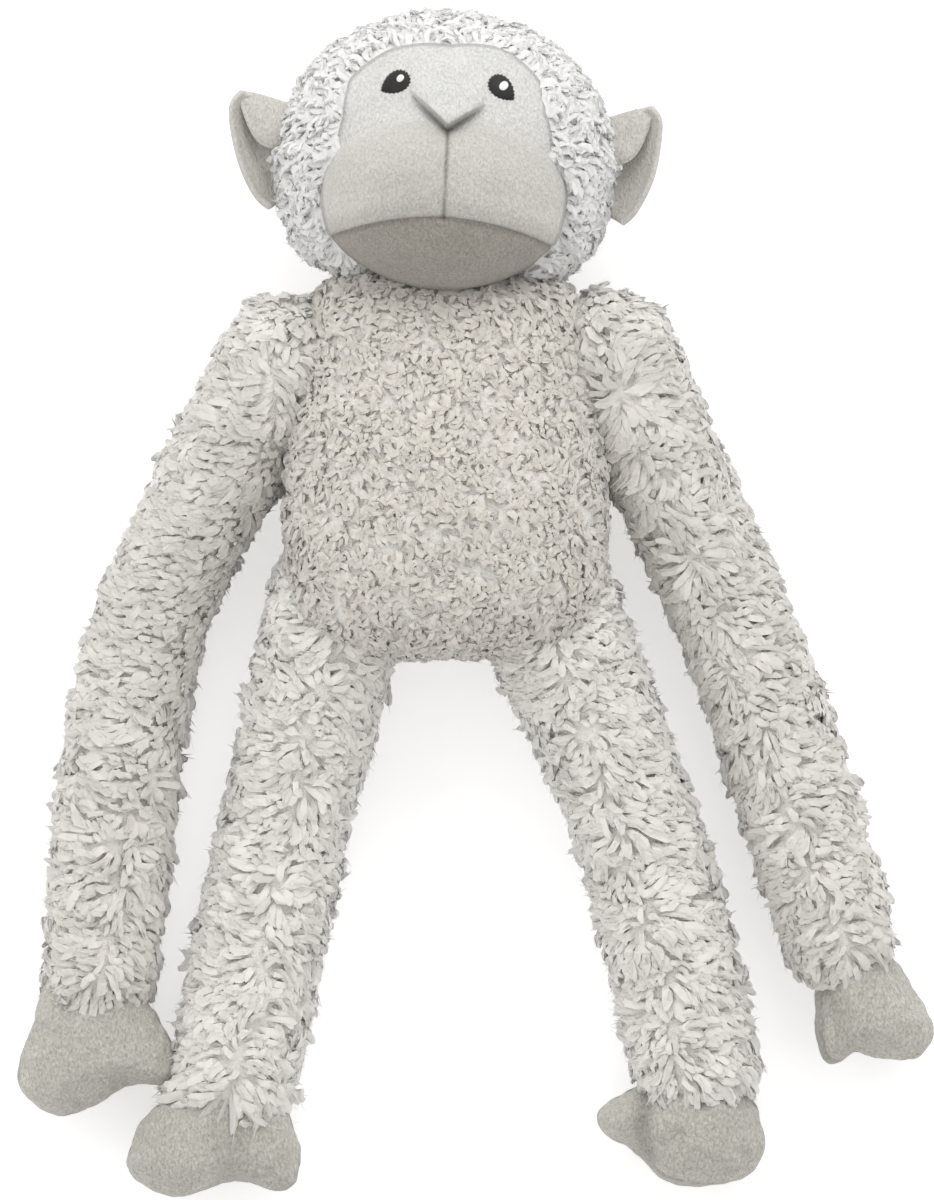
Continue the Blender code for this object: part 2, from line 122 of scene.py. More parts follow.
class ColourSettings(bpy.types.PropertyGroup):
    arm_tip: colour("Arm fur", (0.77, 0.745, 0.69), "Outer ends of the fur on the arms")
    limb_tip: colour("Limb fur", (0.83, 0.81, 0.76), "Outer ends of the fur on the limbs")
    torso_tip: colour("Torso fur", (0.71, 0.67, 0.605), "Outer ends of the fur on the torso")
    head_tip: colour("Head fur", (0.80, 0.795, 0.775), "Outer ends of the fur on the head")
    # The roots are lighter than the tips: painted fill light that lifts the shade between the locks.
    fur_root_painted_fill: colour("Fur root", (0.92, 0.875, 0.81), "Depth of the pile")
    head_root_painted_fill: colour("Head fur root", (0.93, 0.92, 0.895), "Depth of the pile on the head")
    ears: colour("Ear velour", (0.60, 0.58, 0.535), "Short pile of the ears")
    face: colour("Face velour", (0.655, 0.65, 0.625), "Short pile of the upper face")
    # The muzzle's grey cloth is darkened further here with painted shade of its down-turned sides.
    muzzle: colour("Muzzle velour", (0.55, 0.532, 0.49), "Short pile of the muzzle")
    # The chin's darker cloth is darkened further with painted shade of its downward-facing side.
    chin: colour("Chin velour", (0.34, 0.315, 0.275), "Short pile under the mouth")
    hands: colour("Hand and foot velour", (0.50, 0.48, 0.43), "Short pile of the hands, feet and ears")
    thread: colour("Eye thread", (0.012, 0.011, 0.010), "Embroidery of the eyes")
    shine: colour("Highlight thread", (0.95, 0.95, 0.95), "Embroidery of the highlights")


class BodySettings(bpy.types.PropertyGroup):
    arm_skin: length("Arm cloth radius", 0.0205, "Radius of the cloth tube of an arm, without its pile")
    wrist_skin: length("Wrist cloth radius", 0.0185, "Radius of the cloth at the wrist")
    leg_skin: length("Leg cloth radius", 0.0235, "Radius of the cloth tube of a leg")
    ankle_skin: length("Ankle cloth radius", 0.0203, "Radius of the cloth at the ankle")
    bend_room: length("Bend", 0.034, "How far the cloth bends to each side of an elbow or a knee")
    eye_size: length("Eye", 0.0132, "Length of an embroidered eye")
    camera_height: length("Camera height", 12.0, "Height of the camera over the floor")


# Materials


class Signal:
    """A number that varies over a surface. Arithmetic on it adds Math nodes."""

    def __init__(self, nodes, socket):
        self.nodes = nodes
        self.socket = socket

    def _math(self, operation, *values):
        node = self.nodes.add("ShaderNodeMath", {"operation": operation}, dict(enumerate(values)))
        return Signal(self.nodes, node.outputs[0])

    def __add__(self, other):
        return self._math("ADD", self, other)

    def __radd__(self, other):
        return self._math("ADD", other, self)

    def __sub__(self, other):
        return self._math("SUBTRACT", self, other)

    def __rsub__(self, other):
        return self._math("SUBTRACT", other, self)

    def __mul__(self, other):
        return self._math("MULTIPLY", self, other)

    def __rmul__(self, other):
        return self._math("MULTIPLY", other, self)

    def __pow__(self, other):
        return self._math("POWER", self, other)

    def clamped(self):
        node = self.nodes.add("ShaderNodeClamp", {}, {"Value": self})
        return Signal(self.nodes, node.outputs[0])


class Nodes:
    """The node tree of one material, with its Principled shader."""

    def __init__(self, name, roughness, sheen=0.0, sheen_roughness=0.5, specular=0.3):
        self.material = bpy.data.materials.new(name)
        self.material.use_nodes = True
        self.tree = self.material.node_tree
        self.shader = self.tree.nodes["Principled BSDF"]
        self.shader.inputs["Roughness"].default_value = roughness
        self.shader.inputs["Sheen Weight"].default_value = sheen
        self.shader.inputs["Sheen Roughness"].default_value = sheen_roughness
        self.shader.inputs["Specular IOR Level"].default_value = specular

    def add(self, kind, settings=None, values=None):
        node = self.tree.nodes.new(kind)
        for key, value in (settings or {}).items():
            setattr(node, key, value)
        for key, value in (values or {}).items():
            self.feed(node.inputs[key], value)
        return node

    def feed(self, socket, value):
        if isinstance(value, Signal):
            value = value.socket
        if isinstance(value, bpy.types.NodeSocket):
            self.tree.links.new(value, socket)
        elif isinstance(value, tuple) and len(value) == 3 and socket.type == "RGBA":
            socket.default_value = (*value, 1.0)
        else:
            socket.default_value = value

    def place(self, stretch=(1.0, 1.0, 1.0), source="Object"):
        where = self.add("ShaderNodeTexCoord").outputs[source]
        mapped = self.add("ShaderNodeMapping", {}, {"Vector": where, "Scale": stretch})
        return mapped.outputs[0]

    def noise(self, scale, detail=3.0, roughness=0.6, where=None, distortion=0.0):
        values = {"Scale": scale, "Detail": detail, "Roughness": roughness, "Distortion": distortion}
        values["Vector"] = where or self.place()
        return Signal(self, self.add("ShaderNodeTexNoise", {}, values).outputs[0])

    def attribute(self, name):
        return Signal(self, self.add("ShaderNodeAttribute", {"attribute_name": name}).outputs["Fac"])

    def mix(self, share_of_second, first, second, blend="MIX"):
        settings = {"data_type": "RGBA", "blend_type": blend}
        node = self.add("ShaderNodeMix", settings, {0: share_of_second, 6: first, 7: second})
        return node.outputs[2]

    def brighten(self, base, amount):
        """A colour times a varying number."""
        scaled = self.add("ShaderNodeVectorMath", {"operation": "SCALE"}, {0: base, "Scale": amount})
        return scaled.outputs[0]

    def bump(self, height, distance, strength=1.0, under=None):
        values = {"Height": height, "Distance": distance, "Strength": strength}
        if under:
            values["Normal"] = under
        return self.add("ShaderNodeBump", {}, values).outputs[0]

    def finish(self, base, normal=None, roughness=None):
        self.feed(self.shader.inputs["Base Color"], base)
        if normal:
            self.feed(self.shader.inputs["Normal"], normal)
        if roughness:
            self.feed(self.shader.inputs["Roughness"], roughness)
        return self.material


def lock_fur(name, tip, root):
    """Soft crimped fibre: warmer and lighter towards the root, the lightness a painted fill light against the shade
    between locks, with fine streaks along every lock.
    """
    nodes = Nodes(name, 0.9, sheen=0.75, sheen_roughness=0.45, specular=0.05)
    reach = nodes.attribute("reach")
    tint = nodes.attribute("tint")
    streaks = nodes.noise(1.0, 3.0, 0.6, nodes.place((22.0, 2.5, 1.0), "UV"), 0.3)
    fluff = nodes.noise(900.0, 3.0, 0.7)
    broad = nodes.noise(30.0, 2.0)
    # share from the root colour, painted fill light, out to the tip colour
    depth = ((reach * 1.5) ** 0.8).clamped()
    base = nodes.mix(depth, tuple(root), tuple(tip))
    shade = 0.84 + streaks * 0.12 + fluff * 0.10 + tint + broad * 0.08
    normal = nodes.bump(streaks, 0.0003, 0.5, nodes.bump(fluff, 0.0005, 0.5))
    return nodes.finish(nodes.brighten(base, shade), normal)


def backing_cloth(name, root):
    """The woven backing and the shortest pile, seen only between the locks, in the light root colour: painted fill
    light against the shade there.
    """
    nodes = Nodes(name, 0.95, sheen=0.5)
    curls = nodes.noise(420.0, 4.0, 0.65)
    base = nodes.mix(curls, tuple(value * 0.82 for value in root), tuple(min(0.95, value * 1.1) for value in root))
    return nodes.finish(base, nodes.bump(curls, 0.0016))


def velour(name, tone, sheen=0.35, nap=0.16, lower=None):
    """Short upright pile: pebbly loops of brushed nap, soft patches and a bloom at grazing angles."""
    nodes = Nodes(name, 0.92, sheen=sheen, sheen_roughness=0.45, specular=0.1)
    fibres = nodes.noise(1900.0, 3.0, 0.7, nodes.place((1.0, 0.5, 1.0)))
    loops = nodes.noise(1050.0, 2.0, 0.6, nodes.place((1.0, 0.6, 0.8)), 0.4)
    pebbles = loops * 2.0 - 0.5
    patches = nodes.noise(42.0, 2.0, 0.5)
    shade = (1.0 - nap * 1.15) + (fibres - 0.5) * 0.12 + pebbles * nap * 1.7 + patches * nap * 0.6
    normal = nodes.bump(loops, 0.0012, 0.9, nodes.bump(fibres, 0.0004, 0.6))
    # The seam attribute darkens the seam lines; it also carries painted shadow under the nose flap, painted shade on
    # the lower muzzle, and painted shade in the creases and on the undersides of the hands and feet.
    seam = nodes.attribute("seam")
    base = tuple(tone)
    # the muzzle share blends in the muzzle colour, which holds painted shade as well as the cloth's grey
    if lower is not None:
        base = nodes.mix(nodes.attribute("muzzle"), base, tuple(lower))
    return nodes.finish(nodes.brighten(base, shade * (1.0 - seam * 0.38)), normal)


def satin_stitch(name, tone, gleam):
    """Dense embroidery: parallel threads with a slight gleam."""
    nodes = Nodes(name, gleam, specular=0.4)
    where = nodes.place((1.0, 1.0, 1.0), "UV")
    settings = {"wave_type": "BANDS", "bands_direction": "DIAGONAL"}
    rows = nodes.add("ShaderNodeTexWave", settings, {"Vector": where, "Scale": 9.0, "Distortion": 1.2, "Detail": 2.0})
    threads = Signal(nodes, rows.outputs[1])
    base = nodes.brighten(tuple(tone), 0.8 + threads * 0.4)
    return nodes.finish(base, nodes.bump(threads, 0.0001, 0.8))


def floor_paint():
    """Pale and a little bright in itself, as a lit table is."""
    nodes = Nodes("pale_floor", 0.9, specular=0.1)
    nodes.shader.inputs["Emission Color"].default_value = (1.0, 1.0, 1.0, 1.0)
    nodes.shader.inputs["Emission Strength"].default_value = 0.42
    grain = nodes.noise(30.0, 2.0)
    return nodes.finish(nodes.brighten((0.80, 0.80, 0.80), 0.985 + grain * 0.03))


def finish_of(name, make):
    """The material of this name, made once."""
    return bpy.data.materials.get(name) or make()


# Meshes


def object_from(builder, name, surface, smooth=True):
    mesh = bpy.data.meshes.new(name)
    builder.to_mesh(mesh)
    builder.free()
    return object_of(mesh, name, surface, smooth)


def object_of(mesh, name, surface, smooth=True):
    made = bpy.data.objects.new(name, mesh)
    bpy.context.scene.collection.objects.link(made)
    mesh.materials.append(surface)
    for polygon in mesh.polygons:
        polygon.use_smooth = smooth
    return made


def along_path(points, count):
    """Even stations on a smooth curve through the points, as (place, direction, share of the way)."""
    ends = [2 * points[0] - points[1], *points, 2 * points[-1] - points[-2]]
    stations = []
    spans = len(points) - 1
    for index in range(count):
        at = index / (count - 1) * spans
        span = min(int(at), spans - 1)
        t = at - span
        a, b, c, d = ends[span : span + 4]
        place = 0.5 * (2 * b + (c - a) * t + (2 * a - 5 * b + 4 * c - d) * t**2 + (3 * b - a - 3 * c + d) * t**3)
        slope = 0.5 * ((c - a) + (4 * a - 10 * b + 8 * c - 2 * d) * t + (9 * b - 3 * a - 9 * c + 3 * d) * t**2)
        stations.append((place, slope.normalized(), index / (count - 1)))
    return stations


def lofted(rings, segments=32):
    """A closed skin through rings of (centre, direction, half width, half depth)."""
    made = bmesh.new()
    loops = []
    for centre, direction, half_width, half_depth in rings:
        across = SKY.cross(direction).normalized()
        sky = direction.cross(across)
        place = Matrix.Translation(centre) @ Matrix((across, sky, direction)).transposed().to_4x4()
        sized = place @ Matrix.Diagonal((half_width, half_depth, 1.0, 1.0))
        ring = bmesh.ops.create_circle(made, cap_ends=False, segments=segments, radius=1.0, matrix=sized)
        loops.append(ring["verts"])
    for first, second in zip(loops, loops[1:]):
        edges = [edge for edge in made.edges if edge.is_boundary or edge.is_wire]
        picked = [edge for edge in edges if set(edge.verts) <= set(first) | set(second)]
        bmesh.ops.bridge_loops(made, edges=picked)
    for loop in (loops[0], loops[-1]):
        bmesh.ops.contextual_create(made, geom=loop)
    bmesh.ops.recalc_face_normals(made, faces=made.faces)
    return made


def dome_share(distance, reach):
    """How full a rounded end is at a distance from its tip."""
    inside = max(0.0, min(1.0, distance / reach))
    return math.sqrt(1.0 - (1.0 - inside) ** 2)


def surface_points(obj, spacing, rng):
    """Evenly scattered (points, normals) on an object's surface."""
    mesh = obj.data
    mesh.calc_loop_triangles()
    corners = np.empty(len(mesh.vertices) * 3)
    mesh.vertices.foreach_get("co", corners)
    triangles = np.empty(len(mesh.loop_triangles) * 3, np.int32)
    mesh.loop_triangles.foreach_get("vertices", triangles)
    points = corners.reshape(-1, 3)[triangles.reshape(-1, 3)]
    facing = np.cross(points[:, 1] - points[:, 0], points[:, 2] - points[:, 0])
    area = np.linalg.norm(facing, axis=1)
    count = int(area.sum() / 2 / spacing**2 * 5)
    chosen = rng.choice(len(area), count, p=area / area.sum())
    a, b = rng.random((2, count, 1))
    over = (a + b) > 1
    a, b = np.where(over, 1 - a, a), np.where(over, 1 - b, b)
    corner = points[chosen]
    spread = corner[:, 0] + a * (corner[:, 1] - corner[:, 0]) + b * (corner[:, 2] - corner[:, 0])
    normals = facing[chosen] / area[chosen][:, None]
    _, first = np.unique(np.floor(spread / spacing), axis=0, return_index=True)
    return spread[first], normals[first]


# Pile


def lock_shape(rng, hook, lift, wisps):
    """One lock of unit length: a plump twisted curl with loose fibres, combed towards local +X."""
    stations = 12
    turn = rng.uniform(0.4, 1.0) * hook * rng.choice((-1.0, 1.0))
    steep = math.radians(rng.uniform(60, 88)) * lift
    flat = math.radians(rng.uniform(-40, 10))
    spine = [Vector((0.0, 0.0, -0.10))]
    headings = []
    for station in range(stations + 4):
        gone = station / stations
        pitch = steep + (flat - steep) * min(1.0, gone * 1.15) ** 0.9
        yaw = turn * (gone**1.3 - 0.25)
        heading = Vector((math.cos(pitch) * math.cos(yaw), math.cos(pitch) * math.sin(yaw), math.sin(pitch)))
        headings.append(heading)
        spine.append(spine[-1] + heading / stations)

    def station_at(gone):
        at = min(gone * stations, stations + 2.99)
        index = int(at)
        heading = headings[index]
        side = SKY.cross(heading)
        side = (side if side.length > 0.1 else Vector((0.0, 1.0, 0.0))).normalized()
        return spine[index].lerp(spine[index + 1], at - index), side, heading.cross(side)

    made = bmesh.new()
    made.loops.layers.uv.new("fibre")
    reach = made.verts.layers.float.new("reach")
    twist = rng.uniform(-2.5, 2.5)
    ridge = rng.uniform(0.0, 0.25)
    body = bmesh.ops.create_grid(made, x_segments=4, y_segments=4, size=0.5, calc_uvs=True)
    gone_at = (0.0, 0.36, 0.68, 0.90, 1.0)
    full_at = (0.85, 1.0, 0.94, 0.62, 0.0)
    for vert in body["verts"]:
        row = round((vert.co.y + 0.5) * 4)
        column = round((vert.co.x + 0.5) * 4) % 4
        centre, side, out = station_at(gone_at[row] * 0.93)
        full = LOCK_GIRTH * full_at[row] * (1.0 + ridge * (1 if column % 2 else -1))
        angle = math.tau * column / 4 + twist * gone_at[row]
        vert.co = centre + side * (full * math.cos(angle)) + out * (0.9 * full * math.sin(angle))
        vert[reach] = gone_at[row]
    bmesh.ops.remove_doubles(made, verts=body["verts"], dist=1e-5)
    for _ in range(wisps):
        around = rng.uniform(0, math.tau)
        offset = Vector((math.cos(around), 0.7 * math.sin(around) + 0.25)) * rng.uniform(0.10, 0.20)
        width, longer, roll = rng.uniform(0.04, 0.09), rng.uniform(0.90, 1.20), rng.uniform(-0.8, 0.8)
        strand = bmesh.ops.create_grid(made, x_segments=1, y_segments=2, size=0.5, calc_uvs=True)
        for vert in strand["verts"]:
            gone = vert.co.y + 0.5
            centre, side, out = station_at(gone * longer)
            edge = -vert.co.x * width * (1.0 - 0.9 * gone**2)
            away = offset * (0.45 + 0.75 * gone)
            vert.co = centre + side * (away.x + edge * math.cos(roll)) + out * (away.y + edge * math.sin(roll))
            vert[reach] = gone
    mesh = bpy.data.meshes.new("lock")
    made.to_mesh(mesh)
    made.free()
    return mesh


def lock_family(seed, hook, lift, wisps=2, count=16):
    rng = np.random.default_rng(seed)
    return [lock_shape(rng, hook, lift, wisps) for _ in range(count)]


def numbers(rows, name, width, kind=np.float64):
    """One column of a mesh's data as an array."""
    values = np.empty(len(rows) * width, kind)
    rows.foreach_get(name, values)
    return values.reshape(-1, width) if width > 1 else values


def grow_pile(name, skin, family, cut, comb, surface, seed, soften=1.0):
    """Locks over a skin, cut to (spacing, length, radius).

    comb(point, normal) gives the way a lock lies and its size, or None for bare cloth.
    """
    spacing, size, thickness = cut
    rng = np.random.default_rng(seed)
    points, normals = surface_points(skin, spacing, rng)
    shapes = []
    for shape in family:
        around = numbers(shape.loops, "vertex_index", 1, np.int32)
        sides = numbers(shape.polygons, "loop_total", 1, np.int32)
        uv = numbers(shape.uv_layers[0].uv, "vector", 2)
        reach = numbers(shape.attributes["reach"].data, "value", 1)
        co = numbers(shape.vertices, "co", 3)
        shapes.append((co, numbers(shape.vertex_normals, "vector", 3), around, sides, uv, reach))
    tint = settings().pile.tint
    places, facing, corners, counts, prints, reaches, tints = [], [], [], [], [], [], []
    base = 0
    for point, normal in zip(points, normals):
        lie = comb(Vector(point), Vector(normal))
        if lie is None:
            continue
        way, scale = lie
        up = Vector(normal)
        across = up.cross(way)
        across = (across if across.length > 1e-4 else up.orthogonal()).normalized()
        ahead = across.cross(up)
        co, turned, around, sides, uv, reach = shapes[rng.integers(len(shapes))]
        long = size * scale * rng.uniform(0.75, 1.2)
        wide = thickness / LOCK_GIRTH * scale**0.6 * rng.uniform(0.8, 1.25)
        axes = np.array([ahead, across, up])
        stretch = np.array([long, wide, (long + wide) / 2])
        places.append((co * stretch) @ axes + point)
        shown = (turned / stretch) @ axes
        shown /= np.linalg.norm(shown, axis=1, keepdims=True)
        lean = soften * np.clip((shown @ normal + 0.9) / 1.0, 0.0, 1.0)[:, None]
        facing.append(shown * (1.0 - lean) + np.array(normal) * lean)
        corners.append(around + base)
        counts.append(sides)
        prints.append(uv + rng.random(2) * 7.0)
        reaches.append(reach)
        tints.append(np.full(len(co), rng.normal(0.0, tint)))
        base += len(co)
    co = np.concatenate(places)
    co[:, 2] = np.maximum(co[:, 2], 0.0004)
    around = np.concatenate(corners)
    sides = np.concatenate(counts)
    mesh = bpy.data.meshes.new(name)
    mesh.vertices.add(len(co))
    mesh.vertices.foreach_set("co", co.ravel())
    mesh.loops.add(len(around))
    mesh.loops.foreach_set("vertex_index", around)
    mesh.polygons.add(len(sides))
    mesh.polygons.foreach_set("loop_start", np.concatenate([[0], np.cumsum(sides)[:-1]]))
    mesh.polygons.foreach_set("loop_total", sides)
    mesh.uv_layers.new(name="fibre").uv.foreach_set("vector", np.concatenate(prints).ravel())
    for layer, values in (("reach", reaches), ("tint", tints)):
        stored = mesh.attributes.new(layer, "FLOAT", "POINT")
        stored.data.foreach_set("value", np.concatenate(values))
    mesh.update(calc_edges=True)
    made = object_of(mesh, name, surface)
    mesh.normals_split_custom_set_from_vertices(np.concatenate(facing))
    print(name, len(points), "locks", sum(sides - 2), "triangles")
    return made


def drift(point, scale):
    """A slow wander that makes neighbouring locks lie together."""
    return noise.noise_vector(point * scale)


# Skins and their pile


def limb_skin(name, joints, radius_along, reach_before, reach_past):
    """The cloth tube of a limb, rounded at both ends."""
    first = joints[0] - (joints[1] - joints[0]).normalized() * reach_before
    last = joints[-1] + (joints[-1] - joints[-2]).normalized() * reach_past
    path = [first, *joints[1:-1], last]
    total = sum((b - a).length for a, b in zip(path, path[1:]))
    rings = []
    for centre, direction, way in along_path(path, 44):
        gone = way * total
        radius = radius_along(way)
        full = dome_share(gone + 0.0006, radius) * dome_share(total - gone + 0.0006, radius)
        rings.append((centre, direction, radius * full, radius * full))
    cloth = finish_of("fur_backing", lambda: backing_cloth("fur_backing", settings().colours.fur_root_painted_fill))
    return object_from(lofted(rings, 28), name, cloth)


def settings():
    scene = bpy.context.scene
    return scene.plush_monkey


def limb_comb(start, end, rosette=None, cuff=0.2):
    """Pile that parts along the middle of a limb and runs down and out from there."""
    along = (end - start).normalized()
    across = SKY.cross(along).normalized()

    def comb(point, normal):
        wander = drift(point, 38.0)
        side = (point - start).dot(across) + 0.004 * drift(point, 22.0).x
        parting = 1.15 * math.tanh(side / 0.007) * max(0.0, normal.z + 0.25)
        way = along * (0.40 + 0.35 * wander.y) + across * parting + drift(point, 110.0) * 1.3 + wander * 0.8
        size = 1.0 + 0.55 * drift(point, 120.0).x
        hem = smooth_step((point - end).dot(along), -0.006, 0.006)
        way += along * (0.8 * hem)
        size += cuff * hem
        if rosette is not None:
            away = point - rosette
            near = math.exp(-((away.length / 0.017) ** 4))
            swirl = SKY.cross(away).normalized()
            way = way * (1.0 - near) + (away.normalized() * 1.8 + swirl * 0.5) * near
            size += 0.25 * near
        if normal.z < -0.55:
            size *= 0.6
        return way, size

    return comb


def pair_of_pieces(skin, pile, nodes, blend=None, body=None):
    for piece in (skin, pile):
        if blend:
            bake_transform(piece)
        else:
            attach(piece, body)
    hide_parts(*nodes)


class PLUSH_OT_limb(bpy.types.Operator):
    """One arm or one leg: a stuffed cloth tube with long curly pile"""

    bl_idname = "plush.limb"
    bl_label = "Arm or leg"

    kind: bpy.props.EnumProperty(
        name="Kind", description="Which limb", items=[("arm", "Arm", ""), ("leg", "Leg", "")], default="arm"
    )
    end: bpy.props.EnumProperty(
        name="Side", description="Which side", items=[("left", "Left", ""), ("right", "Right", "")], default="left"
    )

    def execute(self, context):
        body, pile = settings().body, settings().pile
        arm = self.kind == "arm"
        names = ("upper_arm", "forearm", "elbow", "wrist") if arm else ("thigh", "shin", "knee", "ankle")
        upper, lower, bend, tip = names
        root = JOINTS[f"{'shoulder' if arm else 'hip'}_{self.end}_raise"]
        middle, last = JOINTS[f"{bend}_{self.end}"], JOINTS[f"{tip}_{self.end}"]
        thick, thin = (body.arm_skin, body.wrist_skin) if arm else (body.leg_skin, body.ankle_skin)

        def radius(way):
            return thick + (thin - thick) * way**1.6 + 0.0010 * math.sin(9.0 * way + 1.0)

        name = f"{self.kind}_{self.end}"
        skin = limb_skin(f"{name}_cloth", [root, middle, last], radius, thick * 0.95, thin * 0.8)
        rosette = None
        if arm and self.end == "right":
            rosette = root + Vector((0.004, -0.018, thick))
        comb = limb_comb(root, last, rosette, 1.1 if name == "leg_left" else 0.15)
        tones = settings().colours
        tip_colour = tones.arm_tip if arm else tones.limb_tip
        fur_name = "arm_fur" if arm else "limb_fur"
        fur = finish_of(fur_name, lambda: lock_fur(fur_name, tip_colour, tones.fur_root_painted_fill))
        family = lock_family(11, 2.2, 0.80)
        seed = 20 + 2 * arm + (self.end == "left")
        locks = grow_pile(f"{name}_pile", skin, family, pile.cut("limb"), comb, fur, seed)
        start = middle + (root - middle).normalized() * body.bend_room
        finish = middle + (last - middle).normalized() * body.bend_room
        blend = (f"{upper}_{self.end}", f"{lower}_{self.end}", tuple(start), tuple(finish))
        nodes = [f"{part}_{self.end}_{kind}" for part in (upper, lower) for kind in ("fur", "stuffing")]
        pair_of_pieces(skin, locks, nodes, blend=blend)
        return {"FINISHED"}


class PLUSH_OT_limb_roots(bpy.types.Operator):
    """Shoulders, hips and neck: the stuffed cloth that the limbs and the head turn on"""

    bl_idname = "plush.limb_roots"
    bl_label = "Shoulders, hips and neck"

    def execute(self, context):
        body, pile = settings().body, settings().pile
        fur = finish_of("limb_fur", lambda: lock_fur("limb_fur", settings().colours.limb_tip, settings().colours.fur_root_painted_fill))
        family = lock_family(12, 2.2, 0.80)
        spots = [(f"{part}_{end}", JOINTS[f"{part}_{end}_raise"], r) for end, _ in SIDES for part, r in (
            ("shoulder", body.arm_skin), ("hip", body.leg_skin))]
        spots.append(("neck", JOINTS["neck_turn"], body.arm_skin * 1.1))
        for number, (name, centre, radius) in enumerate(spots):
            rings = []
            for step in range(13):
                angle = math.pi * (step + 0.25) / 12.5 - math.pi / 2
                rings.append(
                    (
                        centre + Vector((0.0, 1.0, 0.0)) * radius * 0.97 * math.sin(angle),
                        Vector((0.0, 1.0, 0.0)),
                        radius * 0.97 * math.cos(angle),
                        radius * 0.97 * math.cos(angle),
                    )
                )
            cloth = finish_of("fur_backing", lambda: backing_cloth("fur_backing", settings().colours.fur_root_painted_fill))
            skin = object_from(lofted(rings, 24), f"{name}_cloth", cloth)

            def comb(point, normal):
                return Vector((0.0, -0.6, 0.2)) + drift(point, 45.0), 0.7

            locks = grow_pile(f"{name}_pile", skin, family, pile.cut("limb"), comb, fur, 40 + number)
            nodes = ["neck_fur_band", "neck_stuffing"] if name == "neck" else [f"{name}_fur", f"{name}_stuffing"]
            pair_of_pieces(skin, locks, nodes, body=name)
        return {"FINISHED"}


class PLUSH_OT_torso(bpy.types.Operator):
    """The stuffed torso, with short tight curls"""

    bl_idname = "plush.torso"
    bl_label = "Torso"

    def execute(self, context):
        pile = settings().pile
        low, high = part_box("torso_back_fur")
        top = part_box("torso_front_fur")[1]
        half_width = high.x + 0.0004
        middle_z = (low.z + top.z) / 2
        half_depth = (top.z - low.z) / 2 - 0.003
        # share of the length from the crotch to the neck, then shares of the half width and depth
        outline = (
            (0.00, 0.22, 0.16), (0.012, 0.50, 0.42), (0.04, 0.78, 0.68), (0.09, 0.93, 0.85), (0.16, 0.985, 0.94),
            (0.30, 1.00, 1.00), (0.45, 1.00, 1.02), (0.60, 0.97, 1.00), (0.74, 0.92, 0.95), (0.86, 0.87, 0.88),
            (0.94, 0.80, 0.78), (0.985, 0.60, 0.56), (1.00, 0.25, 0.25),
        )
        bottom, span = low.y + 0.001, 0.150
        rings = []
        for share_up, wide, deep in outline:
            centre = Vector((0.0, bottom + share_up * span, middle_z))
            rings.append((centre, Vector((0.0, 1.0, 0.0)), half_width * wide, half_depth * deep))
        builder = lofted(rings, 40)
        for vert in builder.verts:
            flat = Vector((vert.co.x / half_width, (vert.co.z - middle_z) / half_depth))
            squared = 1.0 + 0.10 * (2.0 * abs(flat.x * flat.y)) / max(flat.length_squared, 0.01)
            vert.co.x *= squared
            vert.co.z = max(0.001, middle_z + (vert.co.z - middle_z) * squared)
        bmesh.ops.subdivide_edges(builder, edges=builder.edges, cuts=1, use_grid_fill=True, smooth=0.6)
        cloth = finish_of("fur_backing", lambda: backing_cloth("fur_backing", settings().colours.fur_root_painted_fill))
        skin = object_from(builder, "torso_cloth", cloth)
        fur = finish_of("torso_fur", lambda: lock_fur("torso_fur", settings().colours.torso_tip, settings().colours.fur_root_painted_fill))
        family = lock_family(13, 3.0, 0.72)

        def comb(front):
            def way(point, normal):
                if (point.z > middle_z) != front or normal.z < -0.92:
                    return None
                wander = drift(point, 140.0) * 2.0 + drift(point, 40.0)
                return Vector((0.0, -0.35, 0.0)) + wander, 1.0 + 0.3 * drift(point, 90.0).y

            return way

        for half, front in (("front", True), ("back", False)):
            locks = grow_pile(f"torso_{half}_pile", skin, family, pile.cut("torso"), comb(front), fur, 60 + front)
            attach(locks, "torso")
            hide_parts(f"torso_{half}_fur")
        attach(skin, "torso")
        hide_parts("torso_stuffing")
        return {"FINISHED"}


# Head

SKULL = Vector((0.0630, 0.0515, 0.0490))
MUZZLE_CENTRE = Vector((0.0, -0.0195, 0.0250))
MUZZLE_RADII = Vector((0.0490, 0.0370, 0.0430))
MASK_CENTRE = Vector((0.0, -0.0080))
# the mask's outline as degrees round its centre and the reach there
MASK_OUTLINE = (
    (-9, 0.0498), (12, 0.0435), (31, 0.0455), (45, 0.0510), (66, 0.0525), (90, 0.0484), (118, 0.0516),
    (140, 0.0515), (156, 0.0452), (170, 0.0440), (189, 0.0498), (214, 0.0540), (236, 0.0515), (270, 0.0490),
    (304, 0.0515), (326, 0.0540), (351, 0.0498),
)


def reach_of(direction, centre, radii):
    """How far from the head's centre an ellipsoid's far side lies along a direction."""
    d = Vector((direction.x / radii.x, direction.y / radii.y, direction.z / radii.z))
    c = Vector((centre.x / radii.x, centre.y / radii.y, centre.z / radii.z))
    along = d.dot(c)
    left = along * along - d.length_squared * (c.length_squared - 1.0)
    return (along + math.sqrt(left)) / d.length_squared if left > 0 else 0.0


def soft_max(a, b, room):
    share_b = max(0.0, min(1.0, 0.5 + 0.5 * (b - a) / room))
    return a + (b - a) * share_b + room * share_b * (1.0 - share_b)


def smooth_step(value, low, high):
    at = max(0.0, min(1.0, (value - low) / (high - low)))
    return at * at * (3.0 - 2.0 * at)


def bell(value, width):
    return math.exp(-((value / width) ** 2))


def mouth_height(x):
    return -0.0285 - 0.0095 * (x / 0.045) ** 2


def nose_line(x):
    """Lower edge of the folded nose: a shallow V."""
    return 0.0070 + (0.88 if x < 0 else 0.70) * abs(x - 0.0004)


def inside_mask(point):
    """How far inside the mask's outline a point of the head lies; negative outside."""
    flat = Vector((point.x, point.y)) - MASK_CENTRE
    degrees = math.degrees(math.atan2(flat.y, flat.x))
    reach = np.interp(degrees % 360 if degrees < -9 else degrees, *zip(*MASK_OUTLINE))
    return min(reach - flat.length, point.z - 0.004)


